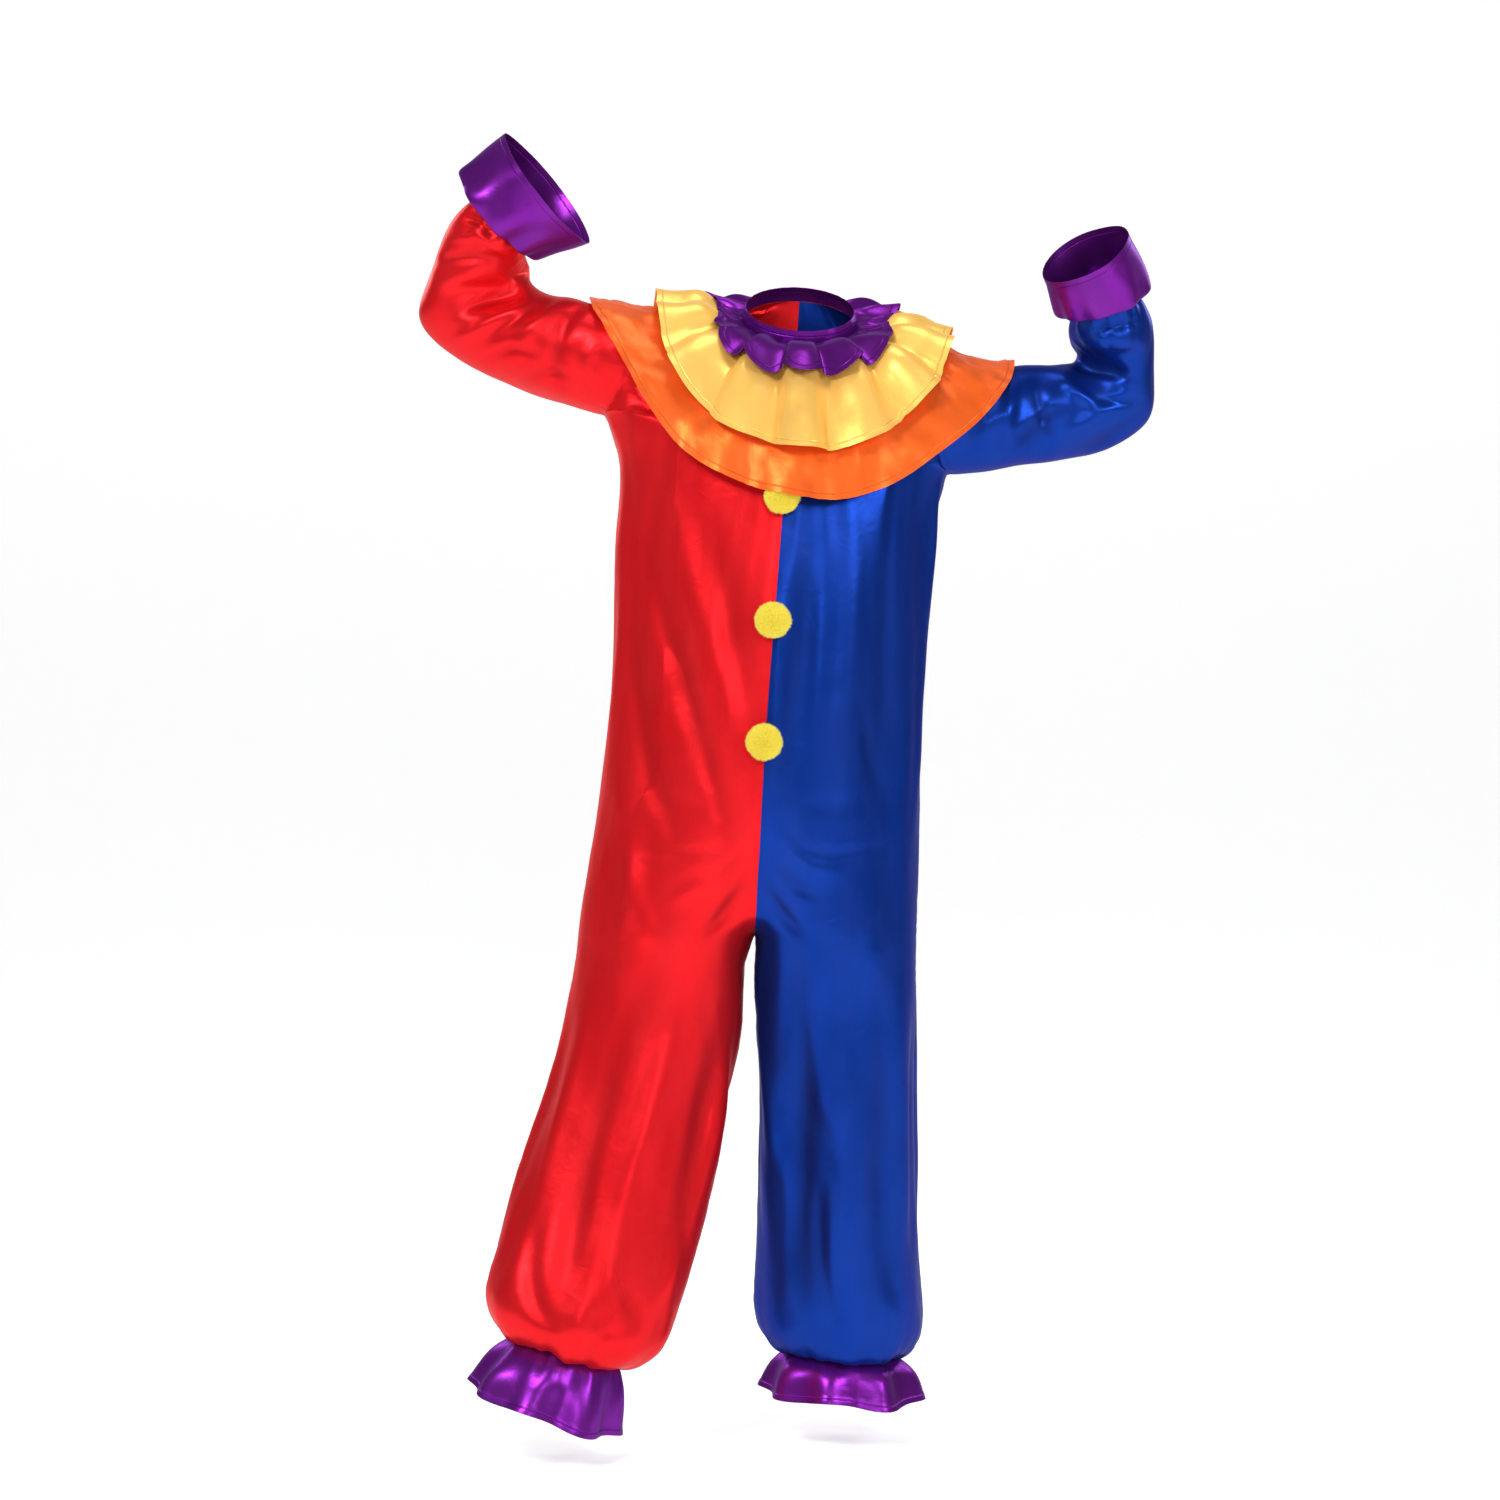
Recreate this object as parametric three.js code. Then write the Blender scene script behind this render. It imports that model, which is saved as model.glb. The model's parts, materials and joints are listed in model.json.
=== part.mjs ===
// A clown costume: a one-piece satin suit, red on the wearer's right and blue on the left, in its worn
// pose.
// Millimetres. X runs to the wearer's left, the front faces -Y and Z is up. The origin is between the
// shoulders, where the wearer carries the suit. Each cut piece is a thin wall of its own, and neighbours
// stop just short of the seam.
import * as THREE from "three";

const WALL = 2.0;
const FRILL_WALL = 1.5;
const SEAM_GAP = 0.5;
// Points closer than this are one point of a seam. No table value lies midway between two of its steps.
const SAME_POINT = 0.0173;
const SHOULDER_SLOPE = -0.16;

const RED = 0xd60f16;
const BLUE = 0x0a2f9e;
const PURPLE = 0x5f1183;
const YELLOW = 0xf6bd4b;
const ORANGE = 0xf06418;
const POMPOM_YELLOW = 0xf4dc1c;

// Torso, measured at the middle of the front: heights, edges at the side seams and depths before and
// behind.
const TORSO = [
  { z: -172, mid: -20, right: -252, left: 189, slope: -0.172, front: 135, back: 118 },
  { z: -205, mid: -22, right: -236, left: 181, slope: -0.15, front: 141, back: 123 },
  { z: -240, mid: -24, right: -228, left: 174, slope: -0.13, front: 146, back: 128 },
  { z: -330, mid: -30, right: -227, left: 163, slope: -0.08, front: 150, back: 130 },
  { z: -420, mid: -37, right: -231, left: 153, slope: -0.04, front: 150, back: 127 },
  { z: -510, mid: -44, right: -238, left: 147, slope: -0.015, front: 149, back: 129 },
  { z: -617, mid: -50, right: -250, left: 145, slope: 0, front: 147, back: 139 },
  { z: -787, mid: -58, right: -283, left: 143, slope: 0, front: 124, back: 128 },
];
const CROTCH_Z = -787;
const CROTCH_CURVE = 170;
const CROTCH_POWER = 1.7;
const CROTCH_STEPS = [0.35, 0.62, 0.82, 0.94];

// Legs, ring by ring: the ring's centre, half width, tilt in degrees and depths before and behind that
// centre.
// The last three rings blouse over the ankle elastic: lowest point, turned under, and gathered.
const LEGS = {
  right: [
    { x: -177, y: 0, z: -812, half: 110, tilt: 1, front: 118, back: 122 },
    { x: -181, y: -4, z: -845, half: 110, tilt: 2, front: 112, back: 116 },
    { x: -187, y: -11, z: -905, half: 112, tilt: 4, front: 106, back: 110 },
    { x: -200, y: -22, z: -970, half: 114, tilt: 7, front: 102, back: 104 },
    { x: -216, y: -38, z: -1040, half: 119, tilt: 10, front: 99, back: 100 },
    { x: -235, y: -55, z: -1110, half: 123, tilt: 13, front: 98, back: 98 },
    { x: -254, y: -73, z: -1180, half: 125, tilt: 15, front: 99, back: 98 },
    { x: -270, y: -87, z: -1232, half: 124, tilt: 16, front: 101, back: 98 },
    { x: -283, y: -96, z: -1271, half: 118, tilt: 17, front: 102, back: 92 },
    { x: -291, y: -100, z: -1302, half: 92, tilt: 16, front: 88, back: 78 },
    { x: -293, y: -101, z: -1304, half: 68, tilt: 16, front: 66, back: 62 },
    { x: -290, y: -100, z: -1288, half: 51, tilt: 16, front: 50, back: 48 },
  ],
  left: [
    { x: 43, y: 0, z: -812, half: 100, tilt: 0, front: 120, back: 124 },
    { x: 44, y: 2, z: -845, half: 101, tilt: 0, front: 116, back: 120 },
    { x: 45, y: 4, z: -905, half: 101, tilt: 0, front: 112, back: 116 },
    { x: 46, y: 6, z: -970, half: 100, tilt: 0, front: 110, back: 113 },
    { x: 47, y: 8, z: -1040, half: 101, tilt: 0, front: 108, back: 112 },
    { x: 47, y: 10, z: -1110, half: 103, tilt: 0, front: 108, back: 112 },
    { x: 47, y: 12, z: -1180, half: 105, tilt: 0, front: 110, back: 113 },
    { x: 48, y: 14, z: -1240, half: 109, tilt: 1, front: 112, back: 113 },
    { x: 51, y: 15, z: -1290, half: 111, tilt: 3, front: 108, back: 106 },
    { x: 53, y: 15, z: -1326, half: 90, tilt: 4, front: 90, back: 86 },
    { x: 53, y: 15, z: -1328, half: 68, tilt: 4, front: 68, back: 66 },
    { x: 52, y: 15, z: -1312, half: 51, tilt: 4, front: 50, back: 50 },
  ],
};

// Armholes: lowest point under the arm, top at the shoulder, half depth, and how far front and back
// curve inwards.
const ARMHOLES = {
  right: { under: [-252, 0, -133], top: [-246, 0, 3], depth: 72, inward: 30 },
  left: { under: [189, 0, -209], top: [222, 0, -74], depth: 72, inward: -30 },
};

// Sleeves, ring by ring: the ring's centre, the direction in degrees from the inner to the outer side
// of the arm,
// the half width that way and the half depth from front to back.
const SLEEVES = {
  right: [
    { x: -291, y: 6, z: -52, turn: -90, half: 69, depth: 70 },
    { x: -332, y: 16, z: -42, turn: -93, half: 65, depth: 67 },
    { x: -366, y: 28, z: -24, turn: -108, half: 65, depth: 65 },
    { x: -391, y: 38, z: -8, turn: -129, half: 69, depth: 64 },
    { x: -412, y: 45, z: 11, turn: -148, half: 76, depth: 63 },
    { x: -421, y: 44, z: 27, turn: -159, half: 79, depth: 62 },
    { x: -417, y: 37, z: 42, turn: -167, half: 72, depth: 61 },
    { x: -411, y: 26, z: 58, turn: -177, half: 64, depth: 60 },
    { x: -405, y: 10, z: 77, turn: -192, half: 58, depth: 57, lean: 5 },
    { x: -396, y: -6, z: 95, turn: -208, half: 53, depth: 52, lean: 10 },
    { x: -386, y: -18, z: 108, turn: -220, half: 46, depth: 45, lean: 15 },
    { x: -377, y: -27, z: 118, turn: -228, half: 38, depth: 38, lean: 19 },
  ],
  left: [
    { x: 258, y: 5, z: -137, turn: -94, half: 66, depth: 68 },
    { x: 285, y: 12, z: -131, turn: -92, half: 65, depth: 66 },
    { x: 314, y: 20, z: -130, turn: -91, half: 62, depth: 64 },
    { x: 346, y: 27, z: -125, turn: -83, half: 61, depth: 63 },
    { x: 374, y: 31, z: -117, turn: -68, half: 61, depth: 63 },
    { x: 394, y: 31, z: -105, turn: -51, half: 63, depth: 62 },
    { x: 405, y: 26, z: -90, turn: -37, half: 63, depth: 62 },
    { x: 404, y: 16, z: -73, turn: -25, half: 58, depth: 61 },
    { x: 400, y: 2, z: -55, turn: -12, half: 56, depth: 60 },
    { x: 397, y: -14, z: -36, turn: -1, half: 56, depth: 58, lean: 7 },
    { x: 394, y: -30, z: -18, turn: 7, half: 54, depth: 54, lean: 14 },
    { x: 389, y: -42, z: -4, turn: 14, half: 47, depth: 46, lean: 20 },
    { x: 383, y: -51, z: 7, turn: 18, half: 38, depth: 38, lean: 25 },
  ],
};

// Wrist and ankle frills below their gathered edge, ring by ring: first fullness to hem. lean tips a
// ring forwards.
const WRIST_FRILLS = {
  right: [
    { x: -381, y: -24.5, z: 116.5, turn: -230, half: 58, depth: 55, lean: 18 },
    { x: -386, y: -22, z: 119, turn: -231, half: 73, depth: 65, lean: 16 },
    { x: -370, y: -29, z: 127, turn: -232, half: 77, depth: 67, lean: 15 },
    { x: -321, y: -43, z: 149, turn: -233, half: 84, depth: 68, lean: 14 },
  ],
  left: [
    { x: 385, y: -49, z: 5, turn: 19, half: 53, depth: 52, lean: 26 },
    { x: 384, y: -50, z: 9, turn: 20, half: 62, depth: 60, lean: 27 },
    { x: 377, y: -59, z: 25, turn: 23, half: 63, depth: 61, lean: 28 },
    { x: 357, y: -80, z: 60, turn: 32, half: 60, depth: 60, lean: 28 },
  ],
};
const ANKLE_FRILLS = {
  right: [
    { x: -293, y: -101, z: -1305, half: 60, tilt: 17, front: 58, back: 55 },
    { x: -299, y: -103, z: -1326, half: 77, tilt: 18, front: 72, back: 68 },
    { x: -309, y: -106, z: -1354, half: 90, tilt: 19, front: 82, back: 78 },
    { x: -319, y: -109, z: -1386, half: 99, tilt: 19, front: 88, back: 84 },
  ],
  left: [
    { x: 53, y: 15, z: -1329, half: 60, tilt: 4, front: 58, back: 57 },
    { x: 54, y: 15, z: -1346, half: 82, tilt: 4, front: 76, back: 74 },
    { x: 54, y: 15, z: -1364, half: 94, tilt: 4, front: 86, back: 84 },
    { x: 54, y: 15, z: -1390, half: 102, tilt: 4, front: 94, back: 92 },
  ],
};

// Neck seam: a ring that is lower at the front. The band stands on it and the collar tiers hang from it.
const NECK = { x: 0, y: 6, z: -18, across: 74, along: 76, tilt: 30, roll: 3 };
const BAND_HEIGHT = 22;
const BAND_TAPER = 4;
const BAND_LIFT = 1.3;
const BAND_CLEARANCE = 0.6;
const BAND_COLUMNS = 32;

// Collar: the outer edge of the widest tier, and how far the other two reach along the same surface.
const COLLAR = {
  across: 272,
  sideDrop: -21,
  frontDrop: 226,
  backDrop: 200,
  frontReach: 168,
  backReach: 158,
  frontBulge: 0.75,
  sideBulge: 0.15,
  backBulge: 1,
  edgePower: 1.9,
  reachPower: 0.88,
};
const HEM_DIP = { angle: -35, wide: 17, drop: 24 };
const YELLOW_REACH = { side: 0.53, front: 0.79, back: 0.79 };
const RUFFLE_REACH = { side: 0.18, front: 0.4, back: 0.38 };

// Waves round the gathered edges: how many, how deep as a share of the ring, and where they start in radians.
const SLEEVE_GATHERS = { waves: 9, depth: 0.07, start: 1 };
const WRIST_GATHERS = { waves: 9, depth: 0.035, start: 2 };
const WRIST_HEM = { waves: 4, depth: 0.02, start: 0 };
const ANKLE_GATHERS = { waves: 8, depth: 0.075, start: 1.2 };
const ANKLE_HEM = { waves: 4, high: 4, start: 0.5 };

// Tiers from the lowest up: waves, their height, the share of the collar where they are full, where they
// start in radians, and the lift over the tier below.
const TIERS = {
  orange: { waves: 15, high: 3, fullAt: 0.5, start: 0.4, lift: 1.5 },
  yellow: { waves: 15, high: 7, fullAt: 0.35, start: 0, lift: 4 },
  ruffle: { waves: 18, high: 8, fullAt: 0.3, start: 0, lift: 4 },
};
const TIER_GAP = 0.5;
const LIFT_ENDS_AT = 0.16;
const TIER_COLUMNS = 75;
const RUFFLE_COLUMNS = 90;

// The lowest tier is held out where it lies over the top pompom.
const POMPOM_TENT = { high: 17, wide: 11, startsAt: 0.6, fullAt: 0.9 };

const POMPOMS = [
  { z: -249, deep: 33 },
  { z: -403, deep: 42 },
  { z: -553, deep: 42 },
];
const POMPOM_WIDTH = 46;
const POMPOM_LOCK = 4.5;

const PANEL_COLUMNS = 8;
const ARMHOLE_STEPS = 12;
const NECK_STEPS = { front: 6, back: 5 };
const FRILL_COLUMNS = 36;
const FRILL_INSET = 1.2;
const WRIST_FRILL_GAP = 0.9;
const SHOULDER_SAG = 8;

// The largest folds that show: a line from (x, z) to (x2, z2) on the front or back, its half width and
// height.
const FOLDS = [
  { face: "front", x: -160, z: -900, x2: -262, z2: -1240, wide: 26, high: 7 },
  { face: "front", x: -118, z: -930, x2: -190, z2: -1235, wide: 24, high: -6 },
  { face: "front", x: -220, z: -960, x2: -330, z2: -1230, wide: 26, high: -7 },
  { face: "front", x: -205, z: -290, x2: -120, z2: -640, wide: 22, high: -6 },
  { face: "front", x: -120, z: -640, x2: -64, z2: -745, wide: 20, high: -6 },
  { face: "front", x: 90, z: -300, x2: 62, z2: -700, wide: 30, high: 6 },
  { face: "front", x: 16, z: -330, x2: -20, z2: -560, wide: 24, high: -6 },
  { face: "front", x: 40, z: -880, x2: 60, z2: -1270, wide: 26, high: 7 },
  { face: "front", x: -8, z: -920, x2: 6, z2: -1270, wide: 20, high: -6 },
  { face: "front", x: 92, z: -860, x2: 104, z2: -1270, wide: 22, high: -6 },
  { face: "back", x: -150, z: -300, x2: -120, z2: -620, wide: 26, high: -7 },
  { face: "back", x: -90, z: -560, x2: -190, z2: -800, wide: 26, high: -7 },
  { face: "back", x: 40, z: -320, x2: 60, z2: -640, wide: 28, high: 7 },
  { face: "back", x: 10, z: -600, x2: 90, z2: -810, wide: 24, high: -7 },
  { face: "back", x: -170, z: -880, x2: -250, z2: -1230, wide: 24, high: 7 },
  { face: "back", x: -240, z: -930, x2: -320, z2: -1230, wide: 24, high: -6 },
  { face: "back", x: 30, z: -860, x2: 40, z2: -1270, wide: 24, high: 7 },
  { face: "back", x: 90, z: -900, x2: 84, z2: -1260, wide: 22, high: -6 },
  { face: "sleeve", x: -352, z: 20, x2: -448, z2: 18, wide: 13, high: -12 },
  { face: "sleeve", x: -336, z: 12, x2: -408, z2: -44, wide: 12, high: 7 },
  { face: "sleeve", x: -312, z: 6, x2: -292, z2: -96, wide: 13, high: -7 },
  { face: "sleeve", x: -360, z: 62, x2: -446, z2: 56, wide: 12, high: 7 },
  { face: "sleeve", x: 348, z: -62, x2: 424, z2: -98, wide: 13, high: -12 },
  { face: "sleeve", x: 336, z: -78, x2: 372, z2: -150, wide: 12, high: 7 },
  { face: "sleeve", x: 300, z: -76, x2: 262, z2: -176, wide: 13, high: -7 },
  { face: "sleeve", x: 350, z: -40, x2: 446, z2: -44, wide: 12, high: 7 },
];

const DEG = Math.PI / 180;
const point = (x, y, z) => new THREE.Vector3(x, y, z);
const mix = (a, b, t) => a + (b - a) * t;
const clamp01 = (t) => Math.min(1, Math.max(0, t));
const smooth = (t) => clamp01(t) * clamp01(t) * (3 - 2 * clamp01(t));
const power = (base, exponent) => Math.sign(base) * Math.abs(base) ** exponent;
const pointMix = (a, b, t) => a.clone().lerp(b, t);

// A point of the neck seam ring. angle is 0 at the front and 90 degrees at the wearer's left.
function neckSeam(angle, inset = 0, lift = 0) {
  const tilt = NECK.tilt * DEG;
  const roll = NECK.roll * DEG;
  const across = (NECK.across - inset) * Math.sin(angle);
  const along = (NECK.along - inset) * Math.cos(angle);
  return point(
    NECK.x + across * Math.cos(roll),
    NECK.y - along * Math.cos(tilt) - lift * Math.sin(tilt),
    NECK.z - across * Math.sin(roll) - along * Math.sin(tilt) + lift * Math.cos(tilt),
  );
}

// A point of an armhole. angle is 0 under the arm and 180 degrees at the shoulder; facing is 1 in front.
function armhole(half, angle, facing) {
  const { under, top, depth, inward } = ARMHOLES[half];
  const low = point(...under);
  const high = point(...top);
  const at = pointMix(low, high, (1 - Math.cos(angle)) / 2);
  at.y = -facing * depth * Math.sin(angle);
  at.x += inward * Math.sin(angle) ** 2;
  return at;
}

// One cross section of a body panel: P = middle + outwards * -cos(a)^p + forwards * sin(a)^p, for a
// from first to 180
// degrees, sinking by sag halfway.
function section(middle, outwards, forwards, first = 90, exponent = 1, sag = 0) {
  return { middle, outwards, forwards, first, exponent, sag };
}

// Sections from the shoulder seam down to the underarm level.
function yokeSections(half, face) {
  const side = half === "left" ? 1 : -1;
  const facing = face === "front" ? 1 : -1;
  const top = TORSO[0];
  const neckShare = NECK_STEPS[face] / ARMHOLE_STEPS;
  const neckEnd = facing > 0 ? 0 : Math.PI * side;
  const seamEnd = neckSeam(neckEnd);
  const chest = point(top.mid, facing > 0 ? -top.front : top.back, top.z);
  return Array.from({ length: ARMHOLE_STEPS + 1 }, (_, step) => {
    const k = step / ARMHOLE_STEPS;
    const outer = armhole(half, Math.PI * (1 - k), facing);
    const onNeck = clamp01(k / neckShare);
    const below = clamp01((k - neckShare) / (1 - neckShare));
    const neckAngle = mix((Math.PI / 2) * side, neckEnd, onNeck);
    const inner = onNeck < 1 ? neckSeam(neckAngle) : pointMix(seamEnd, chest, below);
    const middle = point(inner.x, outer.y, mix((inner.z + outer.z) / 2, inner.z, k));
    const exponent = mix(2, 1, smooth(k));
    return section(middle, outer.sub(middle), inner.sub(middle), 90, exponent, SHOULDER_SAG * (1 - k));
  });
}

function torsoRow(z) {
  const after = TORSO.findIndex((row) => row.z <= z + 1e-6);
  const b = TORSO[after];
  const a = TORSO[Math.max(0, after - 1)];
  const t = a === b ? 0 : (a.z - z) / (a.z - b.z);
  return Object.fromEntries(Object.keys(a).map((key) => [key, mix(a[key], b[key], t)]));
}

// Sections of the torso, and of the crotch curve, where each half closes round into its own leg.
function torsoSections(half, facing) {
  const crotchTop = CROTCH_Z + CROTCH_CURVE;
  const heights = TORSO.slice(1, -1).map((row) => row.z);
  const curve = CROTCH_STEPS.map((share) => crotchTop - share * CROTCH_CURVE);
  return [...heights, ...curve, CROTCH_Z].map((z) => {
    const row = torsoRow(z);
    const closing = clamp01((crotchTop - z) / CROTCH_CURVE) ** CROTCH_POWER;
    const reach = (row[half] - row.mid) / (1 + closing);
    const depth = facing > 0 ? -row.front : row.back;
    return section(
      point(row.mid + reach * closing, 0, z + row.slope * reach * closing),
      point(reach, 0, row.slope * reach),
      point(0, depth, 0),
      Math.acos(closing) / DEG,
    );
  });
}

function legSections(half, facing) {
  const side = half === "left" ? 1 : -1;
  return LEGS[half].map((ring) => {
    const tilt = ring.tilt * DEG;
    const outwards = point(side * ring.half * Math.cos(tilt), 0, -side * ring.half * Math.sin(tilt));
    return section(
      point(ring.x, ring.y, ring.z),
      outwards,
      point(0, facing > 0 ? -ring.front : ring.back, 0),
      0,
    );
  });
}

function sectionPoint(cut, u) {
  const a = mix(cut.first, 180, u) * DEG;
  const at = cut.middle
    .clone()
    .addScaledVector(cut.outwards, power(-Math.cos(a), cut.exponent))
    .addScaledVector(cut.forwards, power(Math.sin(a), cut.exponent));
  at.z -= cut.sag * Math.sin(Math.PI * u);
  return at;
}

// How far the folds lift or sink the cloth at a point of one face.
function foldHeight(at, face) {
  let height = 0;
  for (const fold of FOLDS) {
    if (fold.face !== face) continue;
    const dx = fold.x2 - fold.x;
    const dz = fold.z2 - fold.z;
    const length = Math.hypot(dx, dz);
    const run = ((at.x - fold.x) * dx + (at.z - fold.z) * dz) / length ** 2;
    const off = ((at.x - fold.x) * dz - (at.z - fold.z) * dx) / length;
    if (run <= 0 || run >= 1) continue;
    height += fold.high * Math.exp(-((off / fold.wide) ** 2)) * Math.sin(Math.PI * run) ** 0.7;
  }
  return height;
}

// Outward directions at every point of some grids, averaged over all the faces that meet there, over
// seams too.
function outwardDirections(pieces) {
  const sums = new Map();
  const keyOf = (p) => [p.x, p.y, p.z].map((c) => Math.round(c / SAME_POINT) + 0).join(" ");
  for (const { grid, isTube, turn } of pieces) {
    const columns = grid[0].length;
    for (let i = 0; i < grid.length - 1; i++) {
      for (let j = 0; j < (isTube ? columns : columns - 1); j++) {
        const next = (j + 1) % columns;
        const corners = [grid[i][j], grid[i][next], grid[i + 1][next], grid[i + 1][j]];
        const across = corners[2].clone().sub(corners[0]);
        const facing = across.cross(corners[3].clone().sub(corners[1])).multiplyScalar(turn);
        for (const p of corners) {
          const key = keyOf(p);
          if (!sums.has(key)) sums.set(key, point(0, 0, 0));
          sums.get(key).add(facing);
        }
      }
    }
  }
  const directionAt = (p) => sums.get(keyOf(p)).clone().normalize();
  return pieces.map(({ grid }) => grid.map((row) => row.map(directionAt)));
}

// The inner layer of a wall: each point of the outer layer moved in by the wall's thickness.
function insideOf(grid, outwards, thickness) {
  return grid.map((row, i) => row.map((p, j) => p.clone().addScaledVector(outwards[i][j], -thickness)));
}

// Moves the outermost row or column of a grid back from the seam by half the seam gap.
function pullBack(edge, next) {
  edge.forEach((p, i) => p.addScaledVector(next[i].clone().sub(p).normalize(), SEAM_GAP / 2));
}

function columnOf(grid, j) {
  return grid.map((row) => row[j]);
}

// A closed wall between an outer and an inner grid of points. A tube's columns wrap round.
function wallGeometry(outer, inner, isTube) {
  const rows = outer.length;
  const columns = outer[0].length;
  const positions = [];
  for (const grid of [outer, inner]) {
    for (const row of grid) for (const p of row) positions.push(p.x, p.y, p.z);
  }
  const index = [];
  const id = (layer, i, j) => (layer * rows + i) * columns + (j % columns);
  const quad = (a, b, c, d) => index.push(a, b, c, a, c, d);
  const spans = isTube ? columns : columns - 1;
  for (let i = 0; i < rows - 1; i++) {
    for (let j = 0; j < spans; j++) {
      quad(id(0, i, j), id(0, i, j + 1), id(0, i + 1, j + 1), id(0, i + 1, j));
      quad(id(1, i, j), id(1, i + 1, j), id(1, i + 1, j + 1), id(1, i, j + 1));
    }
  }
  for (let j = 0; j < spans; j++) {
    const last = rows - 1;
    quad(id(0, 0, j + 1), id(0, 0, j), id(1, 0, j), id(1, 0, j + 1));
    quad(id(0, last, j), id(0, last, j + 1), id(1, last, j + 1), id(1, last, j));
  }
  for (let i = 0; i < rows - 1 && !isTube; i++) {
    const last = columns - 1;
    quad(id(0, i, 0), id(0, i + 1, 0), id(1, i + 1, 0), id(1, i, 0));
    quad(id(0, i + 1, last), id(0, i, last), id(1, i, last), id(1, i + 1, last));
  }
  const geometry = new THREE.BufferGeometry();
  geometry.setAttribute("position", new THREE.Float32BufferAttribute(positions, 3));
  geometry.setIndex(facingOut(positions, index));
  return geometry;
}

// Turns every triangle round if the closed surface has its faces pointing in.
function facingOut(positions, index) {
  const at = (i) => point(positions[3 * i], positions[3 * i + 1], positions[3 * i + 2]);
  let volume = 0;
  for (let i = 0; i < index.length; i += 3) {
    volume += at(index[i]).dot(at(index[i + 1]).cross(at(index[i + 2])));
  }
  if (volume >= 0) return index;
  for (let i = 0; i < index.length; i += 3) [index[i], index[i + 1]] = [index[i + 1], index[i]];
  return index;
}

const costume = new THREE.Group();

function addPiece(name, geometry, color, roughness = 0.35) {
  geometry.computeVertexNormals();
  const material = new THREE.MeshStandardMaterial({ color, roughness, metalness: 0 });
  const mesh = new THREE.Mesh(geometry, material);
  mesh.name = name;
  costume.add(mesh);
}

// A body panel runs from the shoulder seam to the ankle elastic, and from the middle seam and inseam to
// the side seam.
function bodyPanel(half, face) {
  const facing = face === "front" ? 1 : -1;
  const cuts = [...yokeSections(half, face), ...torsoSections(half, facing), ...legSections(half, facing)];
  const grid = cuts.map((cut) =>
    Array.from({ length: PANEL_COLUMNS + 1 }, (_, j) => sectionPoint(cut, j / PANEL_COLUMNS)),
  );
  const turn = half === "left" ? -facing : facing;
  return { name: `${half}_${face}_panel`, half, face, grid, isTube: false, turn };
}

// The directions of a ring round an arm: outwards, forwards, and along the arm to the hand.
function ringAxes(ring) {
  const turn = ring.turn * DEG;
  const lean = (ring.lean ?? 0) * DEG;
  const side = Math.sign(ring.x);
  const outwards = point(Math.cos(turn), 0, Math.sin(turn));
  const along = point(-side * outwards.z, 0, side * outwards.x);
  const ahead = point(0, -1, 0);
  return {
    outwards,
    forwards: ahead.clone().multiplyScalar(Math.cos(lean)).addScaledVector(along, -Math.sin(lean)),
    toHand: along.clone().multiplyScalar(Math.cos(lean)).addScaledVector(ahead, Math.sin(lean)),
  };
}

// A point of a sleeve or wrist frill ring. angle is 0 at the outer side of the arm and 90 degrees in front.
function armRingPoint(ring, angle, wave = 0) {
  const { outwards, forwards } = ringAxes(ring);
  return point(ring.x, ring.y, ring.z)
    .addScaledVector(outwards, ring.half * Math.cos(angle) * (1 + wave))
    .addScaledVector(forwards, ring.depth * Math.sin(angle) * (1 + wave));
}

// Uneven waves round a gathered edge, between -1 and 1, and the same scaled to their depth.
function ripple(angle, { waves, start }) {
  const uneven = 0.7 * Math.sin(2 * angle + start);
  return Math.cos(waves * angle + start + uneven) * (0.8 + 0.2 * Math.sin(3 * angle));
}
function gathers(angle, kind) {
  return kind.depth * ripple(angle, kind);
}

function sleeve(half) {
  const columns = 2 * ARMHOLE_STEPS;
  const rings = SLEEVES[half];
  const angles = Array.from({ length: columns }, (_, j) => (2 * Math.PI * j) / columns);
  const seam = angles.map((a) => (a > Math.PI ? armhole(half, 2 * Math.PI - a, -1) : armhole(half, a, 1)));
  const rows = rings.map((ring, i) => {
    const nearEnd = i < rings.length - 1 ? clamp01((i - rings.length + 4) / 3) : 0;
    return angles.map((a) => armRingPoint(ring, a, nearEnd * gathers(a, SLEEVE_GATHERS)));
  });
  const halfway = seam.map((p, j) => pointMix(p, rows[0][j], 0.5));
  const grid = [seam, halfway, ...rows];
  const turn = half === "left" ? -1 : 1;
  return { name: `${half}_sleeve`, half, face: "sleeve", grid, isTube: true, turn };
}

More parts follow.
